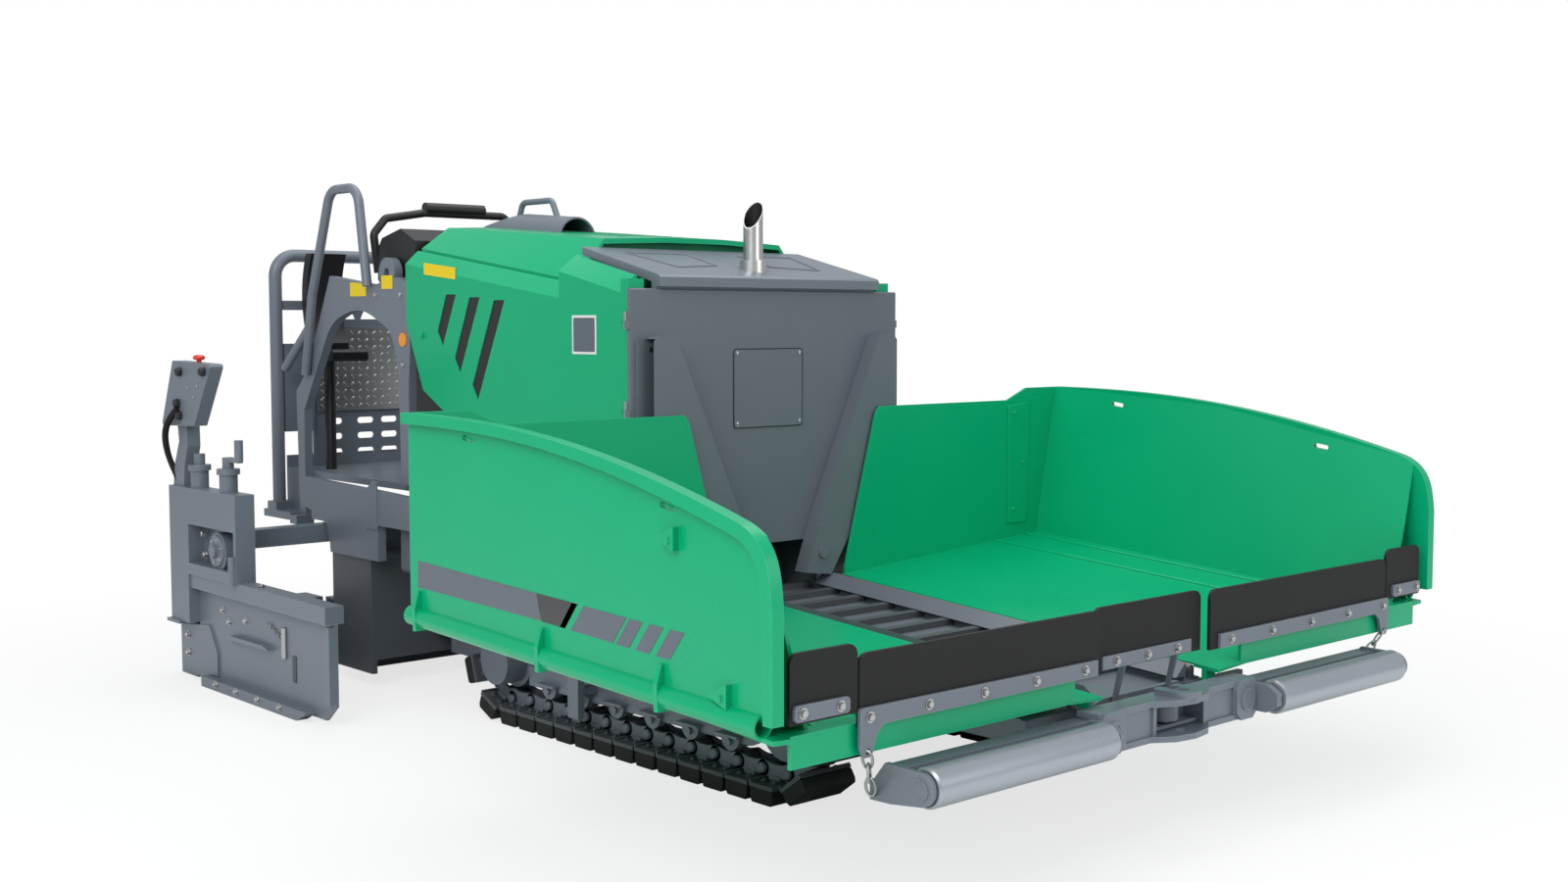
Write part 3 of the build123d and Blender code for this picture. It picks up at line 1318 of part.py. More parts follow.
def auger_box():
    """Tunnel round the augers: side plates, roof, front wall, bearers and middle drive case."""
    z0 = BOX_BOTTOM
    box = both(block(BOX_REAR, BOX_FRONT, BOX_HALF - BOX_SIDE, BOX_HALF, z0, BOX_TOP))
    box += block(BOX_REAR + 60.0, BOX_FRONT, -BOX_HALF, BOX_HALF, BOX_TOP - 22.0, BOX_TOP)
    wall = block(BOX_FRONT - 14.0, BOX_FRONT, -BOX_HALF, BOX_HALF, z0 + 60.0, BOX_TOP)
    mouth = block(BOX_FRONT - 20.0, BOX_FRONT + 1, -CHANNEL_HALF, CHANNEL_HALF, AUGER_Z + 105.0, BOX_TOP - 22.0)
    box += wall - mouth
    case = AUGER_CASE_HALF
    box += block(AUGER_X - 60.0, AUGER_X + 60.0, -case, case, AUGER_Z - 90.0, BOX_TOP - 10.0)
    bearing = rod((AUGER_X, BOX_HALF - BOX_SIDE - 1, AUGER_Z), (AUGER_X, BOX_HALF + 1, AUGER_Z), AUGER_SHAFT + HINGE_FIT)
    box -= both(bearing)
    return box + both(block(BOX_FRONT, CHASSIS_REAR, 330.0, 430.0, 200.0, 390.0))


def auger():
    """Left auger: shaft with one continuous helical flight."""
    y0 = AUGER_CASE_HALF + 2.0
    y1 = BOX_HALF - 2.0
    shaft = rod((AUGER_X, y0, AUGER_Z), (AUGER_X, y1, AUGER_Z), AUGER_SHAFT)
    start = y0 + 14.0
    length = BOX_HALF - BOX_SIDE - 18.0 - start
    middle = (AUGER_SHAFT + AUGER_RADIUS) / 2
    path = Helix(pitch=AUGER_PITCH, height=length, radius=middle)
    width = AUGER_RADIUS - AUGER_SHAFT + 8.0
    section = Plane(origin=path @ 0, x_dir=(1, 0, 0), z_dir=(0, 1, 0)) * Pos(-4.0, 0) * Rectangle(width, FLIGHT_THICK)
    flight = sweep(section, path=path, is_frenet=True)
    turned = Pos(AUGER_X, start, AUGER_Z) * Rot(-90, 0, 0) * flight
    return shaft + turned


def tow_arm():
    """Left tow arm: eye at the front, deep bolted plate at the screed."""
    y0, y1 = ARM_INNER, ARM_INNER + ARM_THICK
    slide_top = SLIDE_Z + SLIDE_SIZE / 2 + SLIDE_WALL
    outline = [
        (TOW_X, TOW_Z + TOW_EYE),
        (-900.0, 850.0),
        (-1200.0, 862.0),
        (-1905.0, 880.0),
        (-1905.0, 750.0),
        (SLIDE_X - 80.0, 735.0),
        (SLIDE_X - 80.0, slide_top),
        (SLIDE_X + 55.0, slide_top),
        (SLIDE_X + 90.0, 600.0),
        (SLIDE_X + 95.0, BOX_TOP + PASS_GAP),
        (-1232.0, BOX_TOP + PASS_GAP),
        (-1232.0, 716.0),
        (-880.0, 716.0),
        (TOW_X, TOW_Z - TOW_EYE),
    ]
    arm = side_plate(outline, y0, y1)
    arm += rod((TOW_X, y0, TOW_Z), (TOW_X, y1, TOW_Z), TOW_EYE)
    cover = side_plate([(-1320.0, 700.0), (-1225.0, 700.0), (-1225.0, 905.0), (-1260.0, 905.0), (-1320.0, 860.0)], y1, y1 + 8.0)
    return arm + cover - rod((TOW_X, y0 - 1, TOW_Z), (TOW_X, y1 + 1, TOW_Z), TOW_PIN + HINGE_FIT)


def tow_bracket():
    """Left tow point: bridge over the track, outer strut and pivot pin."""
    x0, x1 = TOW_X - 60.0, TOW_X + 60.0
    under = TRACK_TOP + 11.0
    inner_wall = ARM_INNER - PASS_GAP
    bridge = block(x0, x1, CHASSIS_HALF, inner_wall, under, under + 45.0)
    bridge += block(x0, x1, inner_wall - 104.0, inner_wall, under, TOW_Z + 60.0)
    pin_end = ARM_INNER + ARM_THICK + 12.0
    bridge += rod((TOW_X, inner_wall - 50.0, TOW_Z), (TOW_X, pin_end, TOW_Z), TOW_PIN)
    bridge += rod((TOW_X, pin_end - 10.0, TOW_Z), (TOW_X, pin_end, TOW_Z), TOW_PIN + 12.0)
    strut_y = TRACK_OUTER + 5.0
    bridge += block(TOW_X - 25.0, TOW_X + 40.0, inner_wall - 2.0, strut_y + 30.0, under, under + 45.0)
    bridge += block(TOW_X - 25.0, TOW_X + 40.0, strut_y, strut_y + 30.0, 120.0, under + 45.0)
    return bridge + block(TOW_X - 20.0, TOW_X + 30.0, rail_outer() + SEAT_GAP, strut_y + 1.0, 205.0, 232.0)


def side_tank():
    """Left tank over the track."""
    under = TRACK_TOP + 11.0
    tank = block(CHASSIS_REAR, TANK_FRONT, CHASSIS_HALF + 4.0, TANK_OUTER, under, DECK_TOP - DECK_THICK)
    return fillet(tank.edges().filter_by(Axis.X).group_by(Axis.Y)[-1], 25.0)


def screed_frame():
    """Main screed box with sole plate, arm brackets and the slide guides."""
    x1 = SCREED_FRONT
    x0 = x1 - SCREED_DEPTH
    half = SLIDE_SIZE / 2
    wall = half + SLIDE_WALL
    wall_x = x1 - SCREED_WALL
    body = block(x0, x1, -SCREED_HALF, SCREED_HALF, SOLE_CLEAR, 300.0)
    body -= block(x0 + 14.0, wall_x - 14.0, -SCREED_HALF - 1, SCREED_HALF + 1, SOLE_CLEAR + 22.0, 286.0)
    body += block(wall_x, x1, -SCREED_HALF, SCREED_HALF, 300.0, 560.0)
    guide = block(SLIDE_X - wall, SLIDE_X + wall, 60.0, SCREED_HALF + 50.0, SLIDE_Z - wall, SLIDE_Z + wall)
    guide -= slide_bar(SEAT_GAP, 30.0)
    body += both(guide)
    body += block(wall_x, x1, -SCREED_HALF, SCREED_HALF, 545.0, SLIDE_Z - half - 10)
    bracket = block(wall_x, x1 - 20.0, SCREED_HALF + 16.0, ARM_INNER, SLIDE_Z + half + 2.0, SLIDE_Z + wall + 46.0)
    return body + both(bracket)


def slide_bar(grow=0.0, inner=330.0):
    """Left telescope bar, or the room for it."""
    half = SLIDE_SIZE / 2 + grow
    outer = EXT_OUTER - EXT_MOUNT
    return block(SLIDE_X - half, SLIDE_X + half, inner, outer, SLIDE_Z - half, SLIDE_Z + half)


def ext_screed():
    """Left extension: telescope bar, front wall, and the sole box behind the main screed."""
    x1 = SCREED_FRONT - SCREED_DEPTH - EXT_GAP
    outer = EXT_OUTER - EXT_MOUNT
    body = block(x1 - EXT_DEPTH, x1, SCREED_HALF + 10.0, EXT_OUTER - EXT_PLATE, 3.0, 240.0)
    body += block(x1 - EXT_DEPTH, x1, SCREED_HALF + 10.0, outer, 240.0, 300.0)
    body += block(x1 - EXT_DEPTH, SCREED_FRONT - 80.0, EXT_OUTER - 325.0, outer, 200.0, 300.0)
    half = SLIDE_SIZE / 2
    post = block(SLIDE_X - half, SLIDE_X + half, outer - 80.0, outer, 250.0, SLIDE_Z)
    return body + slide_bar() + post


def ext_column():
    """Left column box with its window and mechanism disc, rear leg, bumper bar and top beam."""
    y0 = EXT_OUTER - EXT_MOUNT
    y1 = y0 + COLUMN_WIDTH
    foot = 480.0
    column = block(COLUMN_REAR, COLUMN_FRONT, y0, y1, foot, COLUMN_TOP)
    column += block(COLUMN_REAR, COLUMN_REAR + 188.0, y0, y1, 262.0, foot)
    column += block(COLUMN_REAR - 20.0, COLUMN_REAR + 110.0, y0, y1 + 14.0, 250.0, 264.0)
    column -= block(-1955.0, COLUMN_FRONT - 20.0, y0 + 16.0, y1 + 1, 530.0, 702.0)
    disc_x = (COLUMN_REAR + COLUMN_FRONT) / 2 + 110.0
    column += rod((disc_x, y0 + 14.0, 600.0), (disc_x, y1 - 22.0, 600.0), 84.0) & block(
        COLUMN_REAR, COLUMN_FRONT - 20.0, y0, y1, 528.0, 690.0
    )
    beam = [(-1962.0, 420.0), (-1962.0, 490.0), (-720.0, 482.0), (-720.0, 412.0)]
    column += side_plate(beam, y0, y0 + 80.0)
    bar = rod((COLUMN_FRONT - 20.0, y1 + 8.0, 482.0), (COLUMN_FRONT - 20.0, y1 + 8.0, 600.0), 16.0)
    column += bar + block(COLUMN_FRONT - 36.0, COLUMN_FRONT - 4.0, y1 - 20.0, y1 + 8.0, 484.0, 560.0)
    return column


def ext_end_plate():
    """Left end plate with hinge plate, folded front edge and sliding shoe."""
    y0, y1 = EXT_OUTER - EXT_PLATE, EXT_OUTER
    outline = [
        (-2160.0, 40.0),
        (-2160.0, 250.0),
        (-1962.0, 250.0),
        (-1962.0, 420.0),
        (-720.0, 412.0),
        (-720.0, 85.0),
        (-800.0, 20.0),
        (-1990.0, 20.0),
    ]
    plate = side_plate(outline, y0, y1)
    plate += side_plate([(-2120.0, 60.0), (-2120.0, 235.0), (-1850.0, 262.0), (-1770.0, 150.0), (-1770.0, 48.0)], y1, y1 + 10.0)
    plate += side_plate([(-752.0, 96.0), (-752.0, 400.0), (-720.0, 400.0), (-720.0, 96.0)], y1, y1 + 26.0)
    plate += side_plate([(-1600.0, 252.0), (-1640.0, 236.0), (-1240.0, 236.0), (-1290.0, 252.0)], y1, y1 + 30.0)
    shoe = side_plate([(-1850.0, 0.0), (-960.0, 0.0), (-880.0, 36.0), (-880.0, 44.0), (-1850.0, 44.0)], y1, y1 + 50.0)
    return plate + shoe


def ext_spindles():
    """Two height spindles on the left column, the front one with a crank."""
    y = EXT_OUTER - EXT_MOUNT + COLUMN_WIDTH / 2
    z = COLUMN_TOP
    pieces = []
    for x in SPINDLES_X:
        spindle = rod((x, y, z), (x, y, z + 78.0), 38.0) + rod((x, y, z + 78.0), (x, y, z + 102.0), 48.0)
        pieces.append(spindle + rod((x, y, z + 102.0), (x, y, z + 150.0), 24.0))
    x = SPINDLES_X[1]
    crank = block(x - 14.0, x + 120.0, y - 12.0, y + 12.0, z + 132.0, z + 148.0)
    pieces[1] += crank + rod((x + 105.0, y, z + 140.0), (x + 105.0, y, z + 228.0), 18.0)
    return pieces


def ext_console():
    """Left remote console on its curved post."""
    y = EXT_OUTER - EXT_MOUNT + COLUMN_WIDTH / 2
    post_y0, post_y1 = y - 30.0, y + 30.0
    post = side_plate(
        [
            (-2130.0, COLUMN_TOP),
            (-2110.0, 960.0),
            (-2060.0, 1060.0),
            (-2080.0, 1180.0),
            (-1980.0, 1180.0),
            (-1975.0, 1040.0),
            (-2010.0, 950.0),
            (-2020.0, COLUMN_TOP),
        ],
        post_y0,
        post_y1,
    )
    case = side_plate([(-2190.0, 1125.0), (-1850.0, 1135.0), (-1665.0, 1405.0), (-2060.0, 1415.0)], y - 8.0, y + 52.0)
    case = fillet(case.edges().filter_by(Axis.Y), 14.0)
    back = side_plate([(-2215.0, 1160.0), (-2080.0, 1160.0), (-1990.0, 1400.0), (-2095.0, 1400.0)], y - 46.0, y - 8.0)
    return post + case + back


def build():
    """Write every piece."""
    os.makedirs("parts", exist_ok=True)
    save_pair("track", track_loop())
    save_both("track_wheels", track_wheels())
    save_both("track_frames", track_frame())
    save("chassis_frame", chassis_frame())
    save("conveyor_bars", conveyor_bars())
    save_pair("hopper", [hopper_half(), front_lug()])
    save("apron_left", aprons(HOPPER_HINGE_HALF - 65.0))
    save("apron_right", [mirrored(s) for s in aprons(HOPPER_HINGE_HALF + 28.0)])
    save("apron_bar_left", apron_bars(HOPPER_HINGE_HALF - 20.0))
    save("apron_bar_right", [mirrored(s) for s in apron_bars(HOPPER_HINGE_HALF + 50.0)])
    save("apron_centre", centre_apron())
    save("apron_bar_centre", centre_apron_bar())
    save("push_beam", push_beam())
    save_pair("push_roller", push_roller())
    save("hood_top", hood_top())
    save_pair("hood_door", hood_door())
    save_both("hood_sides", hood_sides())
    save("hood_front_panel", hood_front_panel())
    save("hood_lid", hood_lid())
    save("hood_rear_wall", hood_rear_wall())
    save("engine_block", block(-750.0, 150.0, -280.0, 280.0, DECK_TOP, 1350.0))
    save("exhaust_pipe", exhaust())
    save("intake_cowl", intake_cowl())
    save_both("deflectors", deflector())
    save("operator_platform", operator_platform())
    save_both("platform_arches", platform_arch())
    save("handrails", mirrored(handrail()))
    save("rear_guard", rear_guard())
    save("rear_wall", rear_wall())
    save_both("seats", seat())
    save("console", console())
    save("console_guard", console_guard())
    save("auger_box", auger_box())
    save_pair("auger", auger())
    save_both("tow_arms", tow_arm())
    save_both("tow_brackets", tow_bracket())
    save_both("side_tanks", side_tank())
    save("screed_frame", screed_frame())
    save_pair("ext_screed", ext_screed())
    save_pair("ext_column", ext_column())
    save_pair("ext_end_plate", ext_end_plate())
    save_pair("ext_spindles", ext_spindles())
    save_pair("ext_console", ext_console())


build()
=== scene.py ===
import math

import bmesh
import bpy
from mathutils import Matrix, Vector


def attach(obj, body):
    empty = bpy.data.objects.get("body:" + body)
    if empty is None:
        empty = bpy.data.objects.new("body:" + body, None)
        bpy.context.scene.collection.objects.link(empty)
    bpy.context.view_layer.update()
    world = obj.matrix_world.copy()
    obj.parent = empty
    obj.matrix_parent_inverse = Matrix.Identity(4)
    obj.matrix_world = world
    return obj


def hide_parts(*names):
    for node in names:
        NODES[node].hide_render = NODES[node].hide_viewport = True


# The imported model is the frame; everything here is in metres in its coordinates
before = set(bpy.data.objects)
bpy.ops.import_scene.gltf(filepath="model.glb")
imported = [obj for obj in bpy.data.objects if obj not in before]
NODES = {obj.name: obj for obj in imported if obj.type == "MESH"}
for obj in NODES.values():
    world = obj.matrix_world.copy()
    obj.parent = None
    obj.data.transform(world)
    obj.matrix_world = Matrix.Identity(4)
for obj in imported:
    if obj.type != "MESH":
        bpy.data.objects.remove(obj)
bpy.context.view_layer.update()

# Camera, fitted to the photograph's perspective
CAMERA_PLACE = (5.375, -4.40, 1.588)
CAMERA_AZIMUTH = 47.77
CAMERA_PITCH = -3.97
LENS_MM = 39.69
SENSOR_MM = 36.0

# Light and background
KEY_STRENGTH = 300.0
FILL_STRENGTH = 110.0
TOP_STRENGTH = 210.0
SKY_LIGHT = 0.50
FLOOR_GLOW = 0.74
FLOOR_SIZE = 80.0
FLOOR_THICKNESS = 0.02
FADE_START = 2.4
FADE_END = 5.0
SKY_COLOR = (0.93, 0.97, 1.0, 1)
FLOOR_COLOR = (0.93, 0.93, 0.93, 1)
WHITE_BACKDROP = (1, 1, 1, 1)

# Paint and material colours, linear
GREEN = (0.0, 0.40, 0.175)
# Lighter edge tones such as the next one: painted highlight along sharp edges, partly worn paint
GREEN_EDGE_HIGHLIGHT = (0.05, 0.56, 0.30)
BLUE_GREY = (0.155, 0.18, 0.215)
BLUE_GREY_EDGE_HIGHLIGHT = (0.30, 0.33, 0.37)
PANEL_GREY = (0.135, 0.152, 0.180)
# Darker copy of the panel grey, used on the auger box as painted shade
SHADED_PANEL_GREY = (0.085, 0.095, 0.108)
DARK_STEEL = (0.07, 0.075, 0.082)
RUBBER = (0.014, 0.014, 0.014)
SATIN = (0.40, 0.43, 0.47)
BLACK = (0.012, 0.012, 0.013)
BRIGHT_STEEL = (0.62, 0.62, 0.60)
BOLT_STEEL = (0.50, 0.50, 0.49)
YELLOW = (0.86, 0.62, 0.0)
ORANGE = (0.85, 0.30, 0.02)
RED = (0.75, 0.03, 0.01)
WHITE = (0.80, 0.80, 0.80)
STRIPE_GREY = (0.105, 0.125, 0.155)
SOOT = (0.010, 0.009, 0.008)
CAST_IRON = (0.085, 0.09, 0.10)
LINK_STEEL = (0.15, 0.17, 0.20)
BLACK_EDGE_HIGHLIGHT = (0.05, 0.05, 0.05)
DUST = (0.30, 0.29, 0.27)

# Scale of the mottling and dust noise, width of the lighter edges (partly worn paint, partly
# painted highlight) and clear coat
CLOUD_SCALE = 3.2
DUST_SCALE = 14.0
EDGE_WEAR_AND_HIGHLIGHT = 0.004
COAT_ROUGHNESS = 0.12
GRAIN_DEPTH = 0.002

# Each side of the machine, as the sign of Y and the word in its names
SIDES = ((-1, "right"), (1, "left"))


def add_camera():
    """Camera at the photograph's viewing angle."""
    data = bpy.data.cameras.new("camera")
    data.lens = LENS_MM
    data.sensor_width = SENSOR_MM
    camera = bpy.data.objects.new("camera", data)
    bpy.context.scene.collection.objects.link(camera)
    camera.location = CAMERA_PLACE
    tilt, turn = math.radians(90 + CAMERA_PITCH), math.radians(CAMERA_AZIMUTH)
    camera.rotation_euler = (tilt, 0, turn)
    bpy.context.scene.camera = camera


def node_of(tree, kind, **values):
    """Adds a shader node and sets its plain properties."""
    made = tree.nodes.new(kind)
    for key, value in values.items():
        setattr(made, key, value)
    return made


def surface(name, color, rough, metal=0.0, edge=None, grain=0.0, grain_scale=900.0, coat=0.0,
            mottle=0.10, dust=0.0, rough_spread=0.08, shine=0.5):
    """Procedural paint or metal: mottled colour, lighter edges that are partly worn paint and
    partly painted highlight, dust on top and a fine grain.
    """
    material = bpy.data.materials.new(name)
    material.use_nodes = True
    tree = material.node_tree
    shader = tree.nodes["Principled BSDF"]
    shader.inputs["Metallic"].default_value = metal
    shader.inputs["Specular IOR Level"].default_value = shine
    shader.inputs["Coat Weight"].default_value = coat
    shader.inputs["Coat Roughness"].default_value = COAT_ROUGHNESS
    place = node_of(tree, "ShaderNodeTexCoord")
    cloud = node_of(tree, "ShaderNodeTexNoise")
    cloud.inputs["Scale"].default_value = CLOUD_SCALE
    cloud.inputs["Detail"].default_value = 6.0
    tree.links.new(place.outputs["Object"], cloud.inputs["Vector"])
    shade = node_of(tree, "ShaderNodeMixRGB")
    darker = tuple(c * (1.0 - mottle) for c in color)
    lighter = tuple(min(1.0, c * (1.0 + mottle)) for c in color)
    shade.inputs[1].default_value = darker + (1,)
    shade.inputs[2].default_value = lighter + (1,)
    tree.links.new(cloud.outputs["Fac"], shade.inputs[0])
    last = shade
    # Lighter edge tone: partly worn paint, partly painted highlight
    if edge is not None:
        last = worn_and_highlighted_edges(tree, last, edge)
    if dust > 0:
        last = settled_dust(tree, last, place, dust)
    tree.links.new(last.outputs[0], shader.inputs["Base Color"])
    spread = node_of(tree, "ShaderNodeMapRange")
    spread.inputs["To Min"].default_value = max(0.03, rough - rough_spread)
    spread.inputs["To Max"].default_value = min(1.0, rough + rough_spread)
    tree.links.new(cloud.outputs["Fac"], spread.inputs["Value"])
    tree.links.new(spread.outputs[0], shader.inputs["Roughness"])
    if grain > 0:
        fine_grain(tree, place, shader, grain, grain_scale)
    return material


def worn_and_highlighted_edges(tree, last, edge):
    """Mixes in a lighter tone where the surface turns sharply: partly worn paint, partly a painted
    highlight along the edges.
    """
    bevel = node_of(tree, "ShaderNodeBevel", samples=4)
    bevel.inputs["Radius"].default_value = EDGE_WEAR_AND_HIGHLIGHT
    geometry = node_of(tree, "ShaderNodeNewGeometry")
    turn = node_of(tree, "ShaderNodeVectorMath", operation="DOT_PRODUCT")
    tree.links.new(bevel.outputs[0], turn.inputs[0])
    tree.links.new(geometry.outputs["Normal"], turn.inputs[1])
    ramp = node_of(tree, "ShaderNodeMapRange")
    ramp.inputs["From Min"].default_value = 0.97
    ramp.inputs["From Max"].default_value = 0.78
    ramp.inputs["To Max"].default_value = 0.75
    tree.links.new(turn.outputs["Value"], ramp.inputs["Value"])
    mix = node_of(tree, "ShaderNodeMixRGB")
    mix.inputs[2].default_value = tuple(edge) + (1,)
    tree.links.new(ramp.outputs[0], mix.inputs[0])
    tree.links.new(last.outputs[0], mix.inputs[1])
    return mix


def settled_dust(tree, last, place, amount):
    """Mixes in pale dust on upward faces, broken up by noise."""
    geometry = node_of(tree, "ShaderNodeNewGeometry")
    split = node_of(tree, "ShaderNodeSeparateXYZ")
    tree.links.new(geometry.outputs["Normal"], split.inputs[0])
    noise = node_of(tree, "ShaderNodeTexNoise")
    noise.inputs["Scale"].default_value = DUST_SCALE
    noise.inputs["Detail"].default_value = 8.0
    tree.links.new(place.outputs["Object"], noise.inputs["Vector"])
    both = node_of(tree, "ShaderNodeMath", operation="MULTIPLY", use_clamp=True)
    tree.links.new(split.outputs["Z"], both.inputs[0])
    tree.links.new(noise.outputs["Fac"], both.inputs[1])
    scaled = node_of(tree, "ShaderNodeMath", operation="MULTIPLY", use_clamp=True)
    scaled.inputs[1].default_value = amount
    tree.links.new(both.outputs[0], scaled.inputs[0])
    mix = node_of(tree, "ShaderNodeMixRGB")
    mix.inputs[2].default_value = DUST + (1,)
    tree.links.new(scaled.outputs[0], mix.inputs[0])
    tree.links.new(last.outputs[0], mix.inputs[1])
    return mix


def fine_grain(tree, place, shader, strength, scale):
    """Small bump: orange peel in paint, texture in rubber and castings."""
    noise = node_of(tree, "ShaderNodeTexNoise")
    noise.inputs["Scale"].default_value = scale
    noise.inputs["Detail"].default_value = 2.0
    bump = node_of(tree, "ShaderNodeBump")
    bump.inputs["Strength"].default_value = strength
    bump.inputs["Distance"].default_value = GRAIN_DEPTH
    tree.links.new(place.outputs["Object"], noise.inputs["Vector"])
    tree.links.new(noise.outputs["Fac"], bump.inputs["Height"])
    tree.links.new(bump.outputs[0], shader.inputs["Normal"])


MATERIALS = {
    "green": surface("green_paint", GREEN, 0.30, edge=GREEN_EDGE_HIGHLIGHT, grain=0.03, grain_scale=260.0,
                     coat=0.10, mottle=0.04, shine=0.28),
    "grey": surface("grey_paint", BLUE_GREY, 0.38, edge=BLUE_GREY_EDGE_HIGHLIGHT, grain=0.04,
                    grain_scale=300.0, coat=0.15, mottle=0.06),
    "panel": surface("panel_grey_paint", PANEL_GREY, 0.42, edge=BLUE_GREY, grain=0.05,
                     grain_scale=300.0, coat=0.1, mottle=0.07),
    "shaded_panel": surface("shaded_panel_grey_paint", SHADED_PANEL_GREY, 0.42, edge=BLUE_GREY, grain=0.05,
                    grain_scale=300.0, coat=0.1, mottle=0.07),
    "satin": surface("satin_roller_paint", SATIN, 0.30, metal=0.55, edge=BRIGHT_STEEL, grain=0.05,
                     grain_scale=300.0, mottle=0.05),
    "soot": surface("sooty_steel", SOOT, 0.65, metal=0.3, mottle=0.3),
    "dark": surface("dark_steel", DARK_STEEL, 0.5, edge=BLUE_GREY, grain=0.12, grain_scale=180.0,
                    mottle=0.15),
    "rubber": surface("rubber", RUBBER, 0.62, grain=0.25, grain_scale=120.0, mottle=0.25,
                      dust=0.05, shine=0.3),
    "black": surface("black_plastic", BLACK, 0.40, edge=BLACK_EDGE_HIGHLIGHT, grain=0.18, grain_scale=520.0),
    "gloss_black": surface("gloss_black", BLACK, 0.12, coat=0.6, mottle=0.05, rough_spread=0.03),
    "steel": surface("bare_steel", BRIGHT_STEEL, 0.28, metal=1.0, grain=0.08, grain_scale=400.0,
                     mottle=0.10),
    "bolt": surface("bolt_steel", BOLT_STEEL, 0.30, metal=1.0, mottle=0.12),
    "cast": surface("cast_iron", CAST_IRON, 0.5, edge=BLUE_GREY_EDGE_HIGHLIGHT, grain=0.35,
                    grain_scale=140.0, mottle=0.15, dust=0.08),
    "link": surface("track_link_steel", LINK_STEEL, 0.42, metal=0.15, edge=BLUE_GREY_EDGE_HIGHLIGHT,
                    grain=0.3, grain_scale=160.0, mottle=0.2, dust=0.06),
    "yellow": surface("yellow_plate", YELLOW, 0.42, mottle=0.04),
    "orange": surface("orange_plate", ORANGE, 0.42, mottle=0.04),
    "red": surface("red_plastic", RED, 0.30, mottle=0.05, coat=0.3),
    "white": surface("white_paint", WHITE, 0.42, mottle=0.02),
    "stripe": surface("stripe_grey", STRIPE_GREY, 0.36, mottle=0.04, coat=0.2),
}

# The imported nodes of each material
LOOKS = {
    "link": "track_wheels",
    "grey": "track_frames apron_bar_centre push_beam hood_lid intake_cowl operator_platform"
            " platform_arches handrails rear_guard rear_wall tow_arms tow_brackets screed_frame",
    "panel": "chassis_frame hood_front_panel hood_rear_wall deflectors side_tanks",
    "dark": "conveyor_bars",
    "rubber": "apron_centre",
    "green": "hood_top",
    "black": "hood_sides seats console console_guard",
    "cast": "engine_block",
    "steel": "exhaust_pipe",
    # The auger box gets the darker copy of the panel grey as painted shade
    "shaded_panel": "auger_box",
}
# The same for nodes that come as a left and a right one
SIDED_LOOKS = {
    "rubber": "track apron",
    "green": "hopper hood_door",
    "grey": "apron_bar ext_screed ext_column ext_end_plate ext_spindles ext_console",
    "satin": "push_roller",
    "cast": "auger",
}
NODE_EDGE = 0.0022
APRON_EDGE = 0.006


def link_new(name, mesh, material, body, smooth=False, bevel=0.0, segments=2):
    """Puts a mesh in the scene as one piece that rides on a body."""
    obj = bpy.data.objects.new(name, mesh)
    bpy.context.scene.collection.objects.link(obj)
    mesh.materials.append(MATERIALS[material])
    if bevel > 0:
        round_edges(obj, bevel, segments)
    if smooth or bevel > 0:
        soften(obj)
    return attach(obj, body)


def round_edges(obj, width, segments=2):
    """Bevels the sharp edges by a small width."""
    bevel = obj.modifiers.new("edges", "BEVEL")
    bevel.width = width
    bevel.segments = segments
    bevel.limit_method = "ANGLE"
    bevel.angle_limit = math.radians(40)
    bevel.use_clamp_overlap = True
    bevel.harden_normals = False


def soften(obj, degrees=38):
    """Smooth shading with sharp corners kept."""
    for face in obj.data.polygons:
        face.use_smooth = True
    obj.data.set_sharp_from_angle(angle=math.radians(degrees))


def on_side(side, near, far):
    """Two distances from the middle as coordinates on one side, the lower one first."""
    return sorted((side * near, side * far))


def extruded(outline, axis, low, high):
    """Mesh of an outline in the plane across an axis, from low to high along it."""
    place = {
        "x": lambda a, b, c: (c, a, b),
        "y": lambda a, b, c: (a, c, b),
        "z": lambda a, b, c: (a, b, c),
    }[axis]
    mesh = bmesh.new()
    lower = [mesh.verts.new(place(a, b, low)) for a, b in outline]
    upper = [mesh.verts.new(place(a, b, high)) for a, b in outline]
    mesh.faces.new(lower)
    mesh.faces.new(reversed(upper))
    count = len(outline)
    for index in range(count):
        after = (index + 1) % count
        mesh.faces.new((lower[after], lower[index], upper[index], upper[after]))
    bmesh.ops.recalc_face_normals(mesh, faces=mesh.faces)
    return finished(mesh)


def finished(mesh):
    """Turns a working mesh into mesh data."""
    data = bpy.data.meshes.new("mesh")
    mesh.to_mesh(data)
    mesh.free()
    return data


def plate(name, outline, axis, low, high, material, body, bevel=0.0015):
    """Flat plate with small rounded edges."""
    return link_new(name, extruded(outline, axis, low, high), material, body, bevel=bevel)


def rounded(points, radius, steps=5):
    """Outline with each corner turned into a small arc."""
    result = []
    count = len(points)
    for index, point in enumerate(points):
        here = Vector(point)
        before = Vector(points[index - 1]) - here
        after = Vector(points[(index + 1) % count]) - here
        reach = min(radius, before.length * 0.45, after.length * 0.45)
        start = here + before.normalized() * reach
        end = here + after.normalized() * reach
        for step in range(steps + 1):
            t = step / steps
            spot = start * (1 - t) ** 2 + here * 2 * t * (1 - t) + end * t**2
            result.append(tuple(spot))
    return result


def rectangle(a0, a1, b0, b1):
    """Corners of a rectangle."""
    return [(a0, b0), (a1, b0), (a1, b1), (a0, b1)]


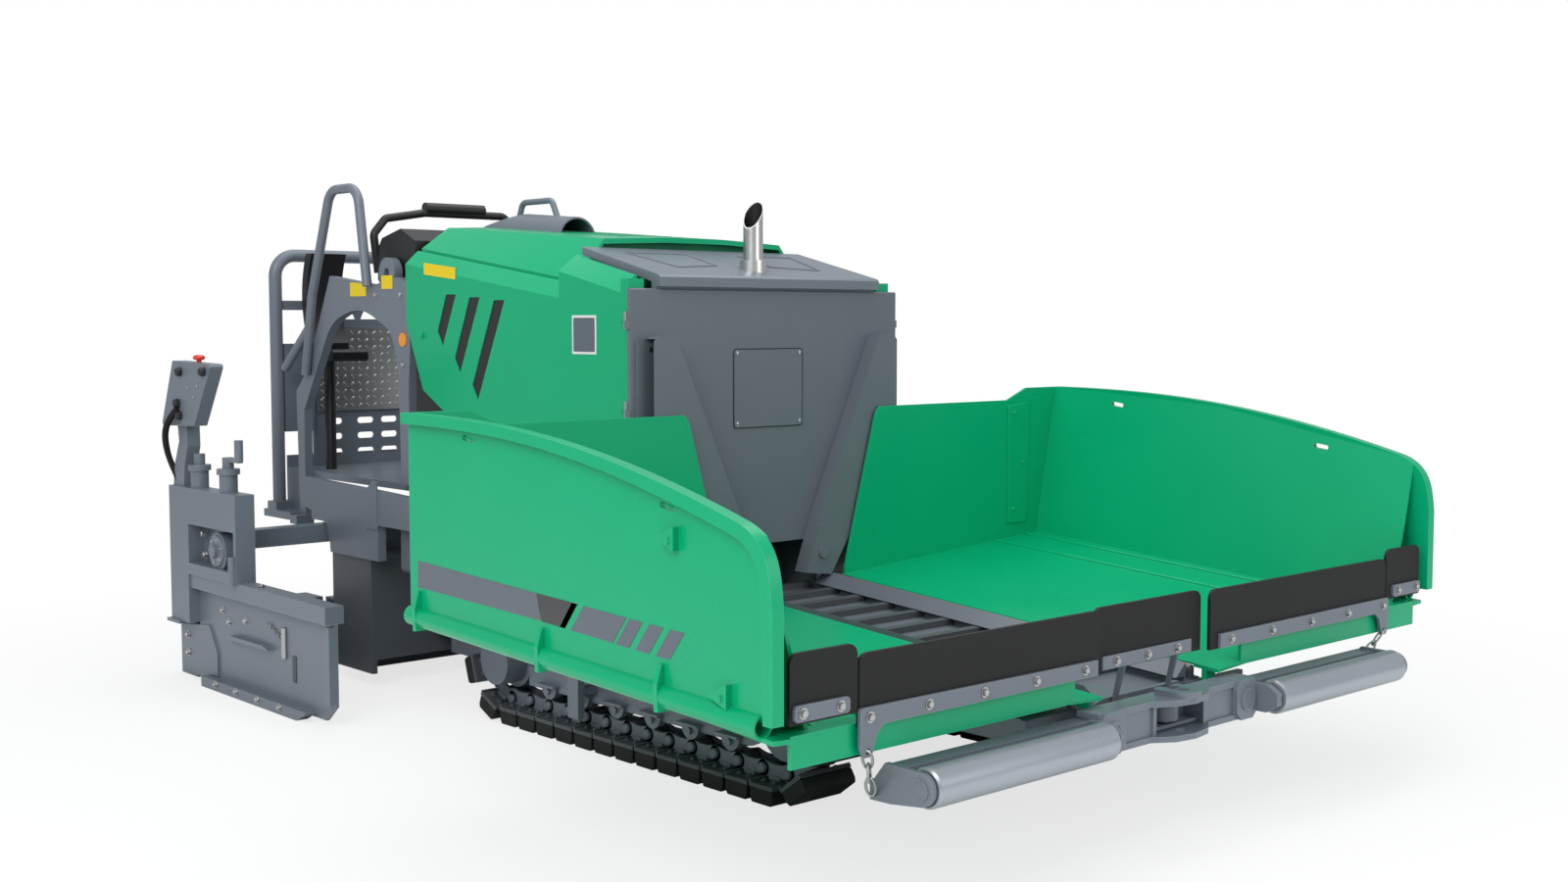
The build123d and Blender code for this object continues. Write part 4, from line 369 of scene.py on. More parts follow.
def turned(profile, steps=28):
    """Mesh turned about Z from (radius, height) points."""
    mesh = bmesh.new()
    rings = []
    for radius, height in profile:
        if radius < 1e-6:
            rings.append([mesh.verts.new((0, 0, height))])
            continue
        ring = []
        for step in range(steps):
            angle = 2 * math.pi * step / steps
            x, y = radius * math.cos(angle), radius * math.sin(angle)
            ring.append(mesh.verts.new((x, y, height)))
        rings.append(ring)
    for low, high in zip(rings, rings[1:]):
        join_rings(mesh, low, high, steps)
    bmesh.ops.recalc_face_normals(mesh, faces=mesh.faces)
    return mesh


def join_rings(mesh, low, high, steps):
    """Faces between two neighbouring rings, either of which may be a single point."""
    for step in range(steps):
        after = (step + 1) % steps
        if len(low) == 1 and len(high) == 1:
            continue
        if len(low) == 1:
            mesh.faces.new((low[0], high[step], high[after]))
        elif len(high) == 1:
            mesh.faces.new((low[step], high[0], low[after]))
        else:
            mesh.faces.new((low[step], low[after], high[after], high[step]))


def aim(direction):
    """Turn that lays a piece's Z along a direction."""
    return Vector(direction).to_track_quat("Z", "Y").to_matrix().to_4x4()


def repeated(pattern, places):
    """One mesh with the pattern at each 4x4 place."""
    joined = bmesh.new()
    data = finished(pattern)
    for place in places:
        before = len(joined.verts)
        joined.from_mesh(data)
        joined.verts.ensure_lookup_table()
        bmesh.ops.transform(joined, matrix=place, verts=joined.verts[before:])
    bpy.data.meshes.remove(data)
    return finished(joined)


def bolt_pattern(radius, height):
    """Hexagon head with a chamfered top on its washer."""
    rim, lift = radius * 1.45, height * 0.22
    mesh = turned([(0, 0), (rim, 0), (rim, lift), (radius, lift)], 18)
    crown = [(radius, height * 0.85), (radius * 0.82, height), (0, height)]
    data = finished(turned([(radius, height * 0.2)] + crown, 6))
    mesh.from_mesh(data)
    bpy.data.meshes.remove(data)
    return mesh


def bolts(name, spots, direction, body, radius=0.009, height=0.009, material="bolt"):
    """A group of hexagon bolts that face one way."""
    turn = aim(direction)
    places = [Matrix.Translation(spot) @ turn for spot in spots]
    mesh = repeated(bolt_pattern(radius, height), places)
    return link_new(name, mesh, material, body, smooth=True)


def turned_piece(name, profile, spot, direction, material, body, steps=28):
    """A turned piece at a spot, its axis along a direction."""
    mesh = turned(profile, steps)
    bmesh.ops.transform(mesh, matrix=Matrix.Translation(spot) @ aim(direction), verts=mesh.verts)
    return link_new(name, finished(mesh), material, body, smooth=True)


def knob_profile(radius, height):
    """Profile of a rounded knob."""
    bulge = [(radius * 1.05, height * 0.5), (radius * 0.85, height * 0.9)]
    return [(0, 0), (radius, 0)] + bulge + [(0, height)]


def bent_line(name, points, radius, smooth=True, cyclic=False):
    """Curve with round thickness along a smooth or straight line."""
    curve = bpy.data.curves.new(name, "CURVE")
    curve.dimensions = "3D"
    curve.bevel_depth = radius
    curve.bevel_resolution = 5
    curve.resolution_u = 10
    curve.use_fill_caps = True
    spline = curve.splines.new("NURBS" if smooth else "POLY")
    spline.points.add(len(points) - 1)
    for spot, point in zip(spline.points, points):
        spot.co = (*point, 1)
    if smooth:
        spline.order_u = 3
        spline.use_endpoint_u = not cyclic
    spline.use_cyclic_u = cyclic
    obj = bpy.data.objects.new(name, curve)
    bpy.context.scene.collection.objects.link(obj)
    return obj


def tube(name, points, radius, material, body, smooth=True, cyclic=False):
    """Bent bar as a mesh."""
    line = bent_line(name + "_line", points, radius, smooth, cyclic)
    mesh = bpy.data.meshes.new_from_object(line)
    bpy.data.objects.remove(line)
    return link_new(name, mesh, material, body, smooth=True)


def looks_of(groups, endings):
    """Material name of each node, from the groups of node names."""
    looks = {}
    for look, names in groups.items():
        for name in names.split():
            for ending in endings:
                looks[name + ending] = look
    return looks


def dress_nodes():
    """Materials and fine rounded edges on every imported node."""
    looks = looks_of(LOOKS, ("",)) | looks_of(SIDED_LOOKS, ("_left", "_right"))
    for name, obj in NODES.items():
        obj.data.materials.clear()
        obj.data.materials.append(MATERIALS[looks[name]])
        rubber_apron = name.startswith("apron_") and "bar" not in name
        if name != "exhaust_pipe":
            round_edges(obj, APRON_EDGE if rubber_apron else NODE_EDGE)
        soften(obj, 30)
    soot_exhaust(NODES["exhaust_pipe"])


def soot_exhaust(obj):
    """Dark inner wall of the exhaust stack."""
    obj.data.materials.append(MATERIALS["soot"])
    axis = Vector(EXHAUST_AXIS)
    for face in obj.data.polygons:
        outward = Vector(face.center[:2]) - axis
        inner = outward.length < EXHAUST_INNER and outward.dot(Vector(face.normal[:2])) < 0
        face.material_index = 1 if inner else 0


def add_stage():
    """White floor and backdrop, the world, and three soft lamps."""
    world = bpy.data.worlds.new("world")
    bpy.context.scene.world = world
    world.use_nodes = True
    tree = world.node_tree
    light = tree.nodes["Background"]
    light.inputs[0].default_value = SKY_COLOR
    light.inputs[1].default_value = SKY_LIGHT
    white = node_of(tree, "ShaderNodeBackground")
    white.inputs[0].default_value = WHITE_BACKDROP
    seen = seen_directly(tree)
    mix = node_of(tree, "ShaderNodeMixShader")
    tree.links.new(seen, mix.inputs[0])
    tree.links.new(light.outputs[0], mix.inputs[1])
    tree.links.new(white.outputs[0], mix.inputs[2])
    tree.links.new(mix.outputs[0], tree.nodes["World Output"].inputs["Surface"])
    lamp("key_lamp", (3.0, -6.5, 5.5), (0.3, 0, 0.8), 5.0, KEY_STRENGTH)
    lamp("fill_lamp", (7.5, 1.5, 3.5), (0.5, 0, 0.8), 4.0, FILL_STRENGTH)
    lamp("top_lamp", (-0.5, 0.5, 6.5), (0, 0, 0), 6.0, TOP_STRENGTH)
    half = FLOOR_SIZE / 2
    floor_mesh = extruded(rectangle(-half, half, -half, half), "z", -FLOOR_THICKNESS, 0.0)
    floor = bpy.data.objects.new("floor", floor_mesh)
    bpy.context.scene.collection.objects.link(floor)
    floor_mesh.materials.append(floor_material())


def seen_directly(tree):
    """1 for camera and transmission rays, else 0."""
    path = node_of(tree, "ShaderNodeLightPath")
    first = node_of(tree, "ShaderNodeMath", operation="MAXIMUM")
    tree.links.new(path.outputs["Is Camera Ray"], first.inputs[0])
    tree.links.new(path.outputs["Is Transmission Ray"], first.inputs[1])
    return first.outputs[0]


def floor_material():
    """Pale floor that keeps the object's shadow and fades into the white background."""
    material = bpy.data.materials.new("floor")
    material.use_nodes = True
    tree = material.node_tree
    shader = tree.nodes["Principled BSDF"]
    shader.inputs["Base Color"].default_value = FLOOR_COLOR
    shader.inputs["Roughness"].default_value = 0.9
    shader.inputs["Specular IOR Level"].default_value = 0.0
    place = node_of(tree, "ShaderNodeTexCoord")
    distance = node_of(tree, "ShaderNodeVectorMath", operation="LENGTH")
    tree.links.new(place.outputs["Object"], distance.inputs[0])
    fade = node_of(tree, "ShaderNodeMapRange", interpolation_type="SMOOTHSTEP")
    fade.inputs["From Min"].default_value = FADE_START
    fade.inputs["From Max"].default_value = FADE_END
    fade.inputs["To Min"].default_value = FLOOR_GLOW
    tree.links.new(distance.outputs["Value"], fade.inputs["Value"])
    glow = node_of(tree, "ShaderNodeEmission")
    glow.inputs[0].default_value = WHITE_BACKDROP
    direct = node_of(tree, "ShaderNodeMath", operation="MULTIPLY")
    tree.links.new(seen_directly(tree), direct.inputs[0])
    tree.links.new(fade.outputs[0], direct.inputs[1])
    mix = node_of(tree, "ShaderNodeMixShader")
    tree.links.new(direct.outputs[0], mix.inputs[0])
    tree.links.new(shader.outputs[0], mix.inputs[1])
    tree.links.new(glow.outputs[0], mix.inputs[2])
    tree.links.new(mix.outputs[0], tree.nodes["Material Output"].inputs["Surface"])
    return material


def lamp(name, place, target, size, strength):
    """Soft square lamp aimed at a point."""
    data = bpy.data.lights.new(name, "AREA")
    data.energy = strength
    data.size = size
    obj = bpy.data.objects.new(name, data)
    bpy.context.scene.collection.objects.link(obj)
    obj.location = place
    obj.rotation_euler = (Vector(target) - Vector(place)).to_track_quat("-Z", "Y").to_euler()


# Track: the same pitch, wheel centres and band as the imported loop
PITCH = 0.125
SHOES = 33
PITCH_RADIUS = 0.150
TRACK_MID = 0.585
TRACK_HALF = 0.115
WHEEL_REAR_X = -0.380
WHEEL_Z = 0.252
SPAN = (SHOES * PITCH - 2 * math.pi * PITCH_RADIUS) / 2
WHEEL_FRONT_X = WHEEL_REAR_X + SPAN
EYE_RADIUS = 0.030
RAIL_HALF = 0.056
SHOE_FOOT = 0.034
SHOE_TOP = 0.049
PAD_HEIGHT = 0.0525


def track_place(distance):
    """Point on the pitch line and the shoe's turn about Y."""
    arc = math.pi * PITCH_RADIUS
    distance %= 2 * (SPAN + arc)
    if distance < SPAN:
        return WHEEL_REAR_X + distance, WHEEL_Z - PITCH_RADIUS, math.pi
    distance -= SPAN
    if distance < arc:
        turn = distance / PITCH_RADIUS
        x = WHEEL_FRONT_X + PITCH_RADIUS * math.sin(turn)
        return x, WHEEL_Z - PITCH_RADIUS * math.cos(turn), math.pi - turn
    distance -= arc
    if distance < SPAN:
        return WHEEL_FRONT_X - distance, WHEEL_Z + PITCH_RADIUS, 0.0
    turn = (distance - SPAN) / PITCH_RADIUS
    x = WHEEL_REAR_X - PITCH_RADIUS * math.sin(turn)
    return x, WHEEL_Z + PITCH_RADIUS * math.cos(turn), -turn


def track_matrix(distance, side):
    """Place of one shoe on a side's loop."""
    x, z, turn = track_place(distance)
    return Matrix.Translation((x, side * TRACK_MID, z)) @ Matrix.Rotation(turn, 4, "Y")


def merge(parts):
    """One working mesh from several mesh data blocks."""
    mesh = bmesh.new()
    for data in parts:
        mesh.from_mesh(data)
        bpy.data.meshes.remove(data)
    return mesh


def waisted_link(y0, y1):
    """One side link: two round eyes joined by a waisted bar."""
    half = PITCH / 2
    outline = []
    for step in range(13):
        angle = math.radians(-120 + 240 * step / 12)
        outline.append((half + EYE_RADIUS * math.cos(angle), EYE_RADIUS * math.sin(angle)))
    outline += [(0.02, 0.024), (-0.02, 0.024)]
    for step in range(13):
        angle = math.radians(60 + 240 * step / 12)
        outline.append((-half + EYE_RADIUS * math.cos(angle), EYE_RADIUS * math.sin(angle)))
    outline += [(-0.02, -0.020), (0.02, -0.020)]
    return extruded(outline, "y", y0, y1)


def link_pattern():
    """The links of one pitch, their rail, pins and bush."""
    parts = []
    for side in (-1, 1):
        parts.append(waisted_link(*on_side(side, 0.030, 0.046)))
        pin = turned([(0.0, 0), (0.019, 0), (0.019, 0.013), (0.014, 0.018), (0, 0.018)], 16)
        place = Matrix.Translation((-PITCH / 2, side * 0.042, 0)) @ aim((0, side, 0))
        bmesh.ops.transform(pin, matrix=place, verts=pin.verts)
        parts.append(finished(pin))
    rail = rectangle(-0.026, 0.026, 0.018, SHOE_FOOT)
    parts.append(extruded(rail, "y", -RAIL_HALF, RAIL_HALF))
    bush = turned([(0.0, -0.045), (0.022, -0.045), (0.022, 0.045), (0.0, 0.045)], 16)
    place = Matrix.Translation((-PITCH / 2, 0, 0)) @ aim((0, 1, 0))
    bmesh.ops.transform(bush, matrix=place, verts=bush.verts)
    parts.append(finished(bush))
    return merge(parts)


def shoe_pattern():
    """Steel shoe plate with its turned down edge and bolt heads."""
    half = PITCH * 0.46
    outline = [
        (-half, SHOE_FOOT), (-half, SHOE_TOP), (half, SHOE_TOP), (half, 0.026),
        (half - 0.006, 0.026), (half - 0.008, 0.036),
    ]
    parts = [extruded(outline, "y", -TRACK_HALF, TRACK_HALF)]
    for x in (-0.026, 0.026):
        for y in (-0.075, 0.075):
            head = bolt_pattern(0.0085, 0.010)
            place = Matrix.Translation((x, y, SHOE_FOOT)) @ aim((0, 0, -1))
            bmesh.ops.transform(head, matrix=place, verts=head.verts)
            parts.append(finished(head))
    return merge(parts)


def pad_pattern():
    """Rubber pad with chamfered long edges and rounded ends."""
    half, foot = TRACK_HALF - 0.001, SHOE_TOP
    top = foot + PAD_HEIGHT
    profile = [
        (-0.054, foot), (0.054, foot), (0.056, foot + 0.010), (0.054, top - 0.014), (0.046, top),
        (-0.046, top), (-0.054, top - 0.014), (-0.056, foot + 0.010),
    ]
    return merge([extruded(profile, "y", -half, half)])


def add_tracks():
    """Links, shoes and pads of both tracks in place of the plain loops."""
    for side, word in SIDES:
        places = [track_matrix((index + 0.5) * PITCH, side) for index in range(SHOES)]
        links = link_new("track_links_" + word, repeated(link_pattern(), places), "link",
                         "chassis", bevel=0.0018, segments=1)
        link_new("track_shoes_" + word, repeated(shoe_pattern(), places), "dark", "chassis",
                 bevel=0.001, segments=1)
        link_new("track_pads_" + word, repeated(pad_pattern(), places), "rubber", "chassis",
                 bevel=0.004)
        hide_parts("track_" + word)


# Cables, exhaust mouth and the outer faces that small pieces sit on
CABLE_RADIUS = 0.012
RIB_PITCH = 0.0085
EXHAUST_AXIS = (0.351, 0.0)
EXHAUST_INNER = 0.0362
WING_Y = 1.612
DECAL = 0.0012
DOOR_FACE = 0.660
ARCH_FACE = 0.640
END_FACE = 1.225
BLADE_PITCH = 0.0125
ROLLER_X, ROLLER_Z = 2.380, 0.387
HUB_X, HUB_Z = -1.706, 0.605

WING_STRIPES = (
    ("stripe_band", "stripe", [(0.584, 0.833), (1.244, 0.807), (1.268, 0.729), (0.581, 0.749)]),
    ("stripe_block", "gloss_black",
     [(1.244, 0.807), (1.447, 0.800), (1.385, 0.723), (1.272, 0.728)]),
    ("stripe_slash", "white", [(1.420, 0.801), (1.447, 0.800), (1.385, 0.723), (1.360, 0.724)]),
    ("stripe_tail", "stripe", [(1.475, 0.798), (1.673, 0.790), (1.610, 0.713), (1.412, 0.722)]),
)
# Name, material, corners, and the distances of the two faces from the middle
DOOR_PLATES = (
    ("blank_badge", "white", rectangle(0.085, 0.236, 1.466, 1.609), DOOR_FACE, 0.6608),
    ("badge_inset", "stripe", rectangle(0.094, 0.227, 1.475, 1.600), 0.6607, 0.6616),
    ("blank_notice", "yellow",
     [(-0.97, 1.781), (-0.727, 1.756), (-0.727, 1.804), (-0.97, 1.829)], DOOR_FACE, 0.6609),
)


def wing_shape(name, outline, material, side, word):
    """Thin painted shape on a wing's outer face."""
    low, high = on_side(side, WING_Y + DECAL, WING_Y + 0.0001)
    mesh = extruded(outline, "y", low, high)
    return link_new(name + "_" + word, mesh, material, "hopper_" + word)


def add_wing_stripes():
    """Grey band, black block with its white slash, and slanted bars on both wings."""
    for side, word in SIDES:
        for name, material, outline in WING_STRIPES:
            wing_shape(name, outline, material, side, word)
        for index in range(3):
            x, z = 1.685 + 0.088 * index, 0.789 - 0.003 * index
            outline = [
                (x, z), (x + 0.060, z - 0.002), (x - 0.002, z - 0.080), (x - 0.062, z - 0.078),
            ]
            wing_shape(f"stripe_bar_{index}", outline, "stripe", side, word)


def blank_plate(name, corners, axis, low, high, material, body):
    """Small blank plate."""
    return link_new(name, extruded(rounded(corners, 0.004), axis, low, high), material, body)


def add_louvres():
    """Black block behind the slats as painted shade in the three leaning slots of each engine
    door, and the fine slats.
    """
    for index in range(3):
        x = -0.724 + 0.178 * index
        top = 1.696 - 0.013 * index
        foot = 1.484 - 0.107 * index
        lean = (top - foot) * 0.5
        outline = [
            (x - 0.001, top - 0.001), (x - 0.076, top - 0.001),
            (x - 0.039 - lean, foot + 0.062), (x - lean, foot + 0.002),
        ]
        rows = int((top - foot) / BLADE_PITCH) - 4
        heights = [top - 0.016 - BLADE_PITCH * row for row in range(rows)]
        for side, word in SIDES:
            door = "hood_door_" + word
            # Black block that fills each slot behind its slats: painted shade of the space behind
            # the door
            low, high = on_side(side, 0.6385, 0.6565)
            plate(f"louvre_{word}_{index}", outline, "y", low, high, "black", door, 0)
            low, high = on_side(side, 0.6560, 0.6585)
            louvre_blades(f"louvre_blades_{word}_{index}", outline, low, high, heights, door)


def add_door_plates():
    """Blank plates and the latch on each engine door."""
    for side, word in SIDES:
        door = "hood_door_" + word
        for name, material, corners, near, far in DOOR_PLATES:
            low, high = on_side(side, near, far)
            blank_plate(f"{name}_{word}", corners, "y", low, high, material, door)
        latch = [(-0.988, side * DOOR_FACE, 1.529)]
        bolts(f"door_latch_{word}", latch, (0, side, 0), door, 0.012, 0.012, "green")


def add_hood_details():
    """Louvres, blank plates, hatch screws and seam, flange bolts, hinges and lid marks."""
    add_louvres()
    add_door_plates()
    spots = [(0.4632, y, z) for y in (-0.178, 0.138) for z in (1.203, 1.467)]
    bolts("hatch_screws", spots, (1, 0, 0), "chassis", 0.007, 0.005)
    ring = rounded(rectangle(-0.194, 0.154, 1.187, 1.483), 0.014)
    seam = [(0.4622, y, z) for y, z in ring]
    tube("hatch_seam", seam, 0.0022, "black", "chassis", smooth=False, cyclic=True)
    flange = [(0.4615, y, z) for y in (-0.590, 0.590) for z in (1.486, 1.194)]
    bolts("flange_bolts", flange, (1, 0, 0), "chassis", 0.011, 0.008)
    barrel = [(0, -0.032), (0.0085, -0.032), (0.0085, 0.032), (0, 0.032)]
    hinges = [(side, z) for z in (1.285, 1.605) for side in (-1, 1)]
    for index, (side, z) in enumerate(hinges):
        turned_piece(f"door_hinge_{index}", barrel, (0.4300, side * 0.672, z - 0.015), (0, 0, 1),
                     "bolt", "chassis")
    lid_marks()


def louvre_blades(name, outline, low, high, heights, body):
    """Fine slats across a louvre at the given heights, following its lean."""
    (x_top, z_top), _, _, (x_foot, z_foot) = outline
    mesh = bmesh.new()
    for z in heights:
        x = x_top + (z_top - z) / (z_top - z_foot) * (x_foot - x_top)
        slat = rectangle(x - 0.066, x - 0.006, z - 0.0035, z + 0.0015)
        data = extruded(slat, "y", low, high)
        mesh.from_mesh(data)
        bpy.data.meshes.remove(data)
    link_new(name, finished(mesh), "black", body)


def lid_height(x):
    """Height of the lid's top face."""
    front_x, front_z = 0.472, 1.755
    rear_x, rear_z = 0.005, 1.868
    return front_z + (rear_z - front_z) * (front_x - x) / (front_x - rear_x)


def lid_marks():
    """Two raised outlines on the lid, one each side of the exhaust."""
    for side, word in SIDES:
        ring = [(0.10, 0.13), (0.10, 0.42), (0.34, 0.36), (0.30, 0.14)]
        points = [(x, side * y, lid_height(x) + 0.0015) for x, y in ring]
        tube(f"lid_mark_{word}", points + [points[0]], 0.0028, "grey", "chassis", smooth=False)


def add_hopper_details():
    """Floor seams, corner plates with their bolts, and ear bolts in both halves."""
    slope = math.tan(math.radians(4.0))
    roll = math.tan(math.radians(3.5))
    for side, word in SIDES:
        body = "hopper_" + word
        for index, y in enumerate((1.20, 1.405)):
            z = 0.574 + 0.024 + roll * (y - 0.300) + 0.0015
            points = [(0.55, side * y, z - slope * 0.015), (2.24, side * y, z - slope * 1.705)]
            tube(f"floor_seam_{index}_{word}", points, 0.006, "green", body, smooth=False)
        corners = [(1.275, 0.72), (1.40, 0.72), (1.415, 1.24), (1.275, 1.225)]
        outline = rounded([(side * y, z) for y, z in corners], 0.01)
        plate(f"corner_plate_{word}", outline, "x", 0.547, 0.553, "green", body, 0.002)
        spots = [(0.553, side * y, z) for y, z in ((1.31, 1.195), (1.31, 0.78), (1.37, 0.98))]
        bolts(f"corner_bolts_{word}", spots, (1, 0, 0), body, 0.008, 0.008, "green")
        ears = [(1.878, side * 1.634, 1.02), (2.088, side * 1.634, 0.64)]
        bolts(f"ear_bolts_{word}", ears, (0, side, 0), body, 0.009, 0.006, "green")


def bar_bolts(name, y0, y1, z, count, body, x=2.284):
    """Bolts evenly along an apron bar."""
    spots = [(x, y0 + (y1 - y0) * (index / (count - 1)), z) for index in range(count)]
    bolts(name, spots, (1, 0, 0), body, 0.0105, 0.010)


def add_apron_details():
    """Bolts through the clamp bars."""
    bar_bolts("bar_bolts_right", -0.41, -1.295, 0.574, 5, "hopper_right")
    bar_bolts("bar_bolts_left", 0.34, 1.295, 0.574, 5, "hopper_left")
    bar_bolts("small_bar_bolts_right", -1.40, -1.53, 0.619, 2, "hopper_right")
    bar_bolts("small_bar_bolts_left", 1.40, 1.53, 0.619, 2, "hopper_left")
    bar_bolts("centre_bar_bolts", -0.22, 0.09, 0.572, 3, "chassis", 2.254)


def chain(name, start, end, count, body, radius=0.010, wire=0.0028):
    """Short chain of oval links between two points."""
    start, end = Vector(start), Vector(end)
    step = (end - start) / count
    turn = aim(step)
    places = []
    for index in range(count):
        spin = Matrix.Rotation(math.pi / 2 * (index % 2), 4, "Z")
        places.append(Matrix.Translation(start + step * (index + 0.5)) @ turn @ spin)
    half = step.length * 0.5 + wire
    ring = oval_ring(radius, half, wire)
    return link_new(name, repeated(ring, places), "bolt", body, smooth=True)


def oval_ring(width, half, wire, steps=20, around=8):
    """Oval link in the XZ plane, long along Z."""
    mesh = bmesh.new()
    rings = []
    for step in range(steps):
        angle = 2 * math.pi * step / steps
        centre = Vector((width * math.cos(angle), 0, (half + wire) * math.sin(angle)))
        outward = Vector((math.cos(angle), 0, math.sin(angle)))
        ring = []
        for turn in range(around):
            tip = 2 * math.pi * turn / around
            offset = outward * math.cos(tip) * wire + Vector((0, 1, 0)) * math.sin(tip) * wire
            ring.append(mesh.verts.new(centre + offset))
        rings.append(ring)
    for step in range(steps):
        join_rings(mesh, rings[step], rings[(step + 1) % steps], around)
    bmesh.ops.recalc_face_normals(mesh, faces=mesh.faces)
    return mesh


def add_beam_details():
    """Pin heads, roller end caps, chains from the apron hooks, and a dark plate as painted shade
    of the hitch slot.
    """
    head = [(0, 0), (0.030, 0), (0.030, 0.002), (0.022, 0.003), (0.020, 0.004), (0, 0.004)]
    cap = [(0.020, 0), (0.046, 0.0), (0.048, 0.002), (0.0485, 0.004), (0.020, 0.005)]
    for side, word in SIDES:
        out = (0, side, 0)
        turned_piece(f"beam_pin_{word}", head, (ROLLER_X, side * 1.2125, ROLLER_Z), out, "grey",
                     "push_beam")
        turned_piece(f"roller_cap_{word}", cap, (ROLLER_X, side * 1.190, ROLLER_Z), out, "dark",
                     "push_roller_" + word)
        chain(f"beam_chain_{word}", (2.279, side * 1.303, 0.482), (2.222, side * 1.228, 0.350), 3,
              "push_beam", 0.013, 0.0042)
    # Dark plate on the beam's top where the hitch slot is: painted shade of the slot
    outline = rounded(rectangle(2.288, 2.318, -0.022, 0.022), 0.008)
    plate("hitch_slot_shade", outline, "z", 0.4675, 0.4685, "dark", "push_beam", 0)


def add_tread_dimples():
    """Raised dimples of the tread panel, leaning each way in turn."""
    places = []
    for row in range(11):
        for column in range(22):
            spot = (-2.3355, -0.425 + column * 0.0405, 1.175 + row * 0.0355)
            spin = 45 if (row + column) % 2 else -45
            turn = Matrix.Rotation(math.radians(spin), 4, "Z")
            place = Matrix.Translation(spot) @ aim((1, 0, 0)) @ turn
            places.append(place @ Matrix.Diagonal((1.9, 0.75, 1.0, 1.0)))
    dome = turned([(0.0065, 0), (0.0055, 0.0012), (0.003, 0.002), (0, 0.0022)], 10)
    link_new("tread_dimples", repeated(dome, places), "steel", "chassis", smooth=True)


def add_stand_details():
    """Tread sheets with dimples, arch bolts, blank plates and the reflector."""
    add_tread_dimples()
    sheet = rectangle(-0.443, 0.443, 1.152, 1.558)
    plate("tread_sheet", sheet, "x", -2.3365, -2.3352, "steel", "chassis", 0)
    plate("tread_sheet_rear", sheet, "x", -2.3568, -2.3561, "steel", "chassis", 0)
    spots = [(x, -ARCH_FACE, z) for x, z in ((-1.415, 1.70), (-1.20, 1.70), (-1.19, 1.40))]
    bolts("arch_bolts", spots, (0, -1, 0), "chassis")
    rear = [(-1.639, 1.697), (-1.497, 1.697), (-1.497, 1.752), (-1.639, 1.760)]
    blank_plate("arch_plate_rear", rear, "y", -0.6412, -ARCH_FACE, "yellow", "chassis")
    front = rectangle(-1.359, -1.266, 1.726, 1.784)
    blank_plate("arch_plate_front", front, "y", -0.6412, -ARCH_FACE, "yellow", "chassis")
    lens = [(0, 0), (0.030, 0), (0.030, 0.004), (0, 0.005)]
    turned_piece("arch_reflector", lens, (-1.185, -ARCH_FACE, 1.508), (0, -1, 0), "orange",
                 "chassis")


def column_mechanism(side, word, body):
    """Bolts and round hub in the column's window."""
    out, face = (0, side, 0), side * END_FACE
    spots = [(-1.90, face, 0.66), (-1.88, face, 0.57), (-1.55, face, 0.66)]
    bolts(f"mechanism_bolts_{word}", spots, out, body, 0.013, 0.016)
    hub = [(0, 0), (0.070, 0), (0.066, 0.010), (0.03, 0.012), (0.028, 0.03), (0, 0.03)]
    turned_piece(f"mechanism_hub_{word}", hub, (HUB_X, side * 1.249, HUB_Z), out, "grey", body)
    rim = []
    for index in range(6):
        angle = math.radians(60 * index + 15)
        x, z = HUB_X + 0.05 * math.cos(angle), HUB_Z + 0.05 * math.sin(angle)
        rim.append((x, side * 1.259, z))
    bolts(f"hub_bolts_{word}", rim, out, body, 0.006, 0.007)


def end_plate_details(side, word, body):
    """Bolts of the end plate and its shoe, the latch with its chain, and the tag."""
    out, face = (0, side, 0), side * END_FACE
    skid = [(-1.70 + 0.20 * index, side * 1.275, 0.030) for index in range(4)]
    bolts(f"skid_bolts_{word}", skid, out, body, 0.012, 0.012)
    hinge = [(-2.06, side * 1.235, z) for z in (0.115, 0.195)]
    bolts(f"hinge_bolts_{word}", hinge, out, body, 0.012, 0.014)
    top = [(-1.50, face, 0.489), (-1.35, face, 0.488)]
    bolts(f"beam_top_bolts_{word}", top, (0, 0, 1), body, 0.012, 0.010)
    ends = [(-1.72, face, 0.345), (-1.66, face, 0.300), (-1.50, face, 0.325)]
    bolts(f"end_bolts_{word}", ends, out, body, 0.011, 0.012)
    chain(f"latch_chain_{word}", (-1.28, side * 1.229, 0.345), (-1.14, side * 1.229, 0.285), 8,
          body, 0.007, 0.0022)
    latch = rounded(rectangle(-1.155, -1.125, 0.215, 0.345), 0.010)
    low, high = sorted((face, face + side * 0.012))
    plate(f"latch_{word}", latch, "y", low, high, "bolt", body, 0.003)
    tag = rounded(rectangle(-1.075, -1.045, 0.13, 0.24), 0.006)
    low, high = sorted((face + side * 0.001, face + side * 0.004))
    plate(f"tag_{word}", tag, "y", low, high, "dark", body, 0.001)


def add_screed_details():
    """Column mechanism, end plate fittings and console controls of both extensions."""
    for side, word in SIDES:
        body = "extension_" + word
        column_mechanism(side, word, body)
        end_plate_details(side, word, body)
        console_controls(side, word, body)


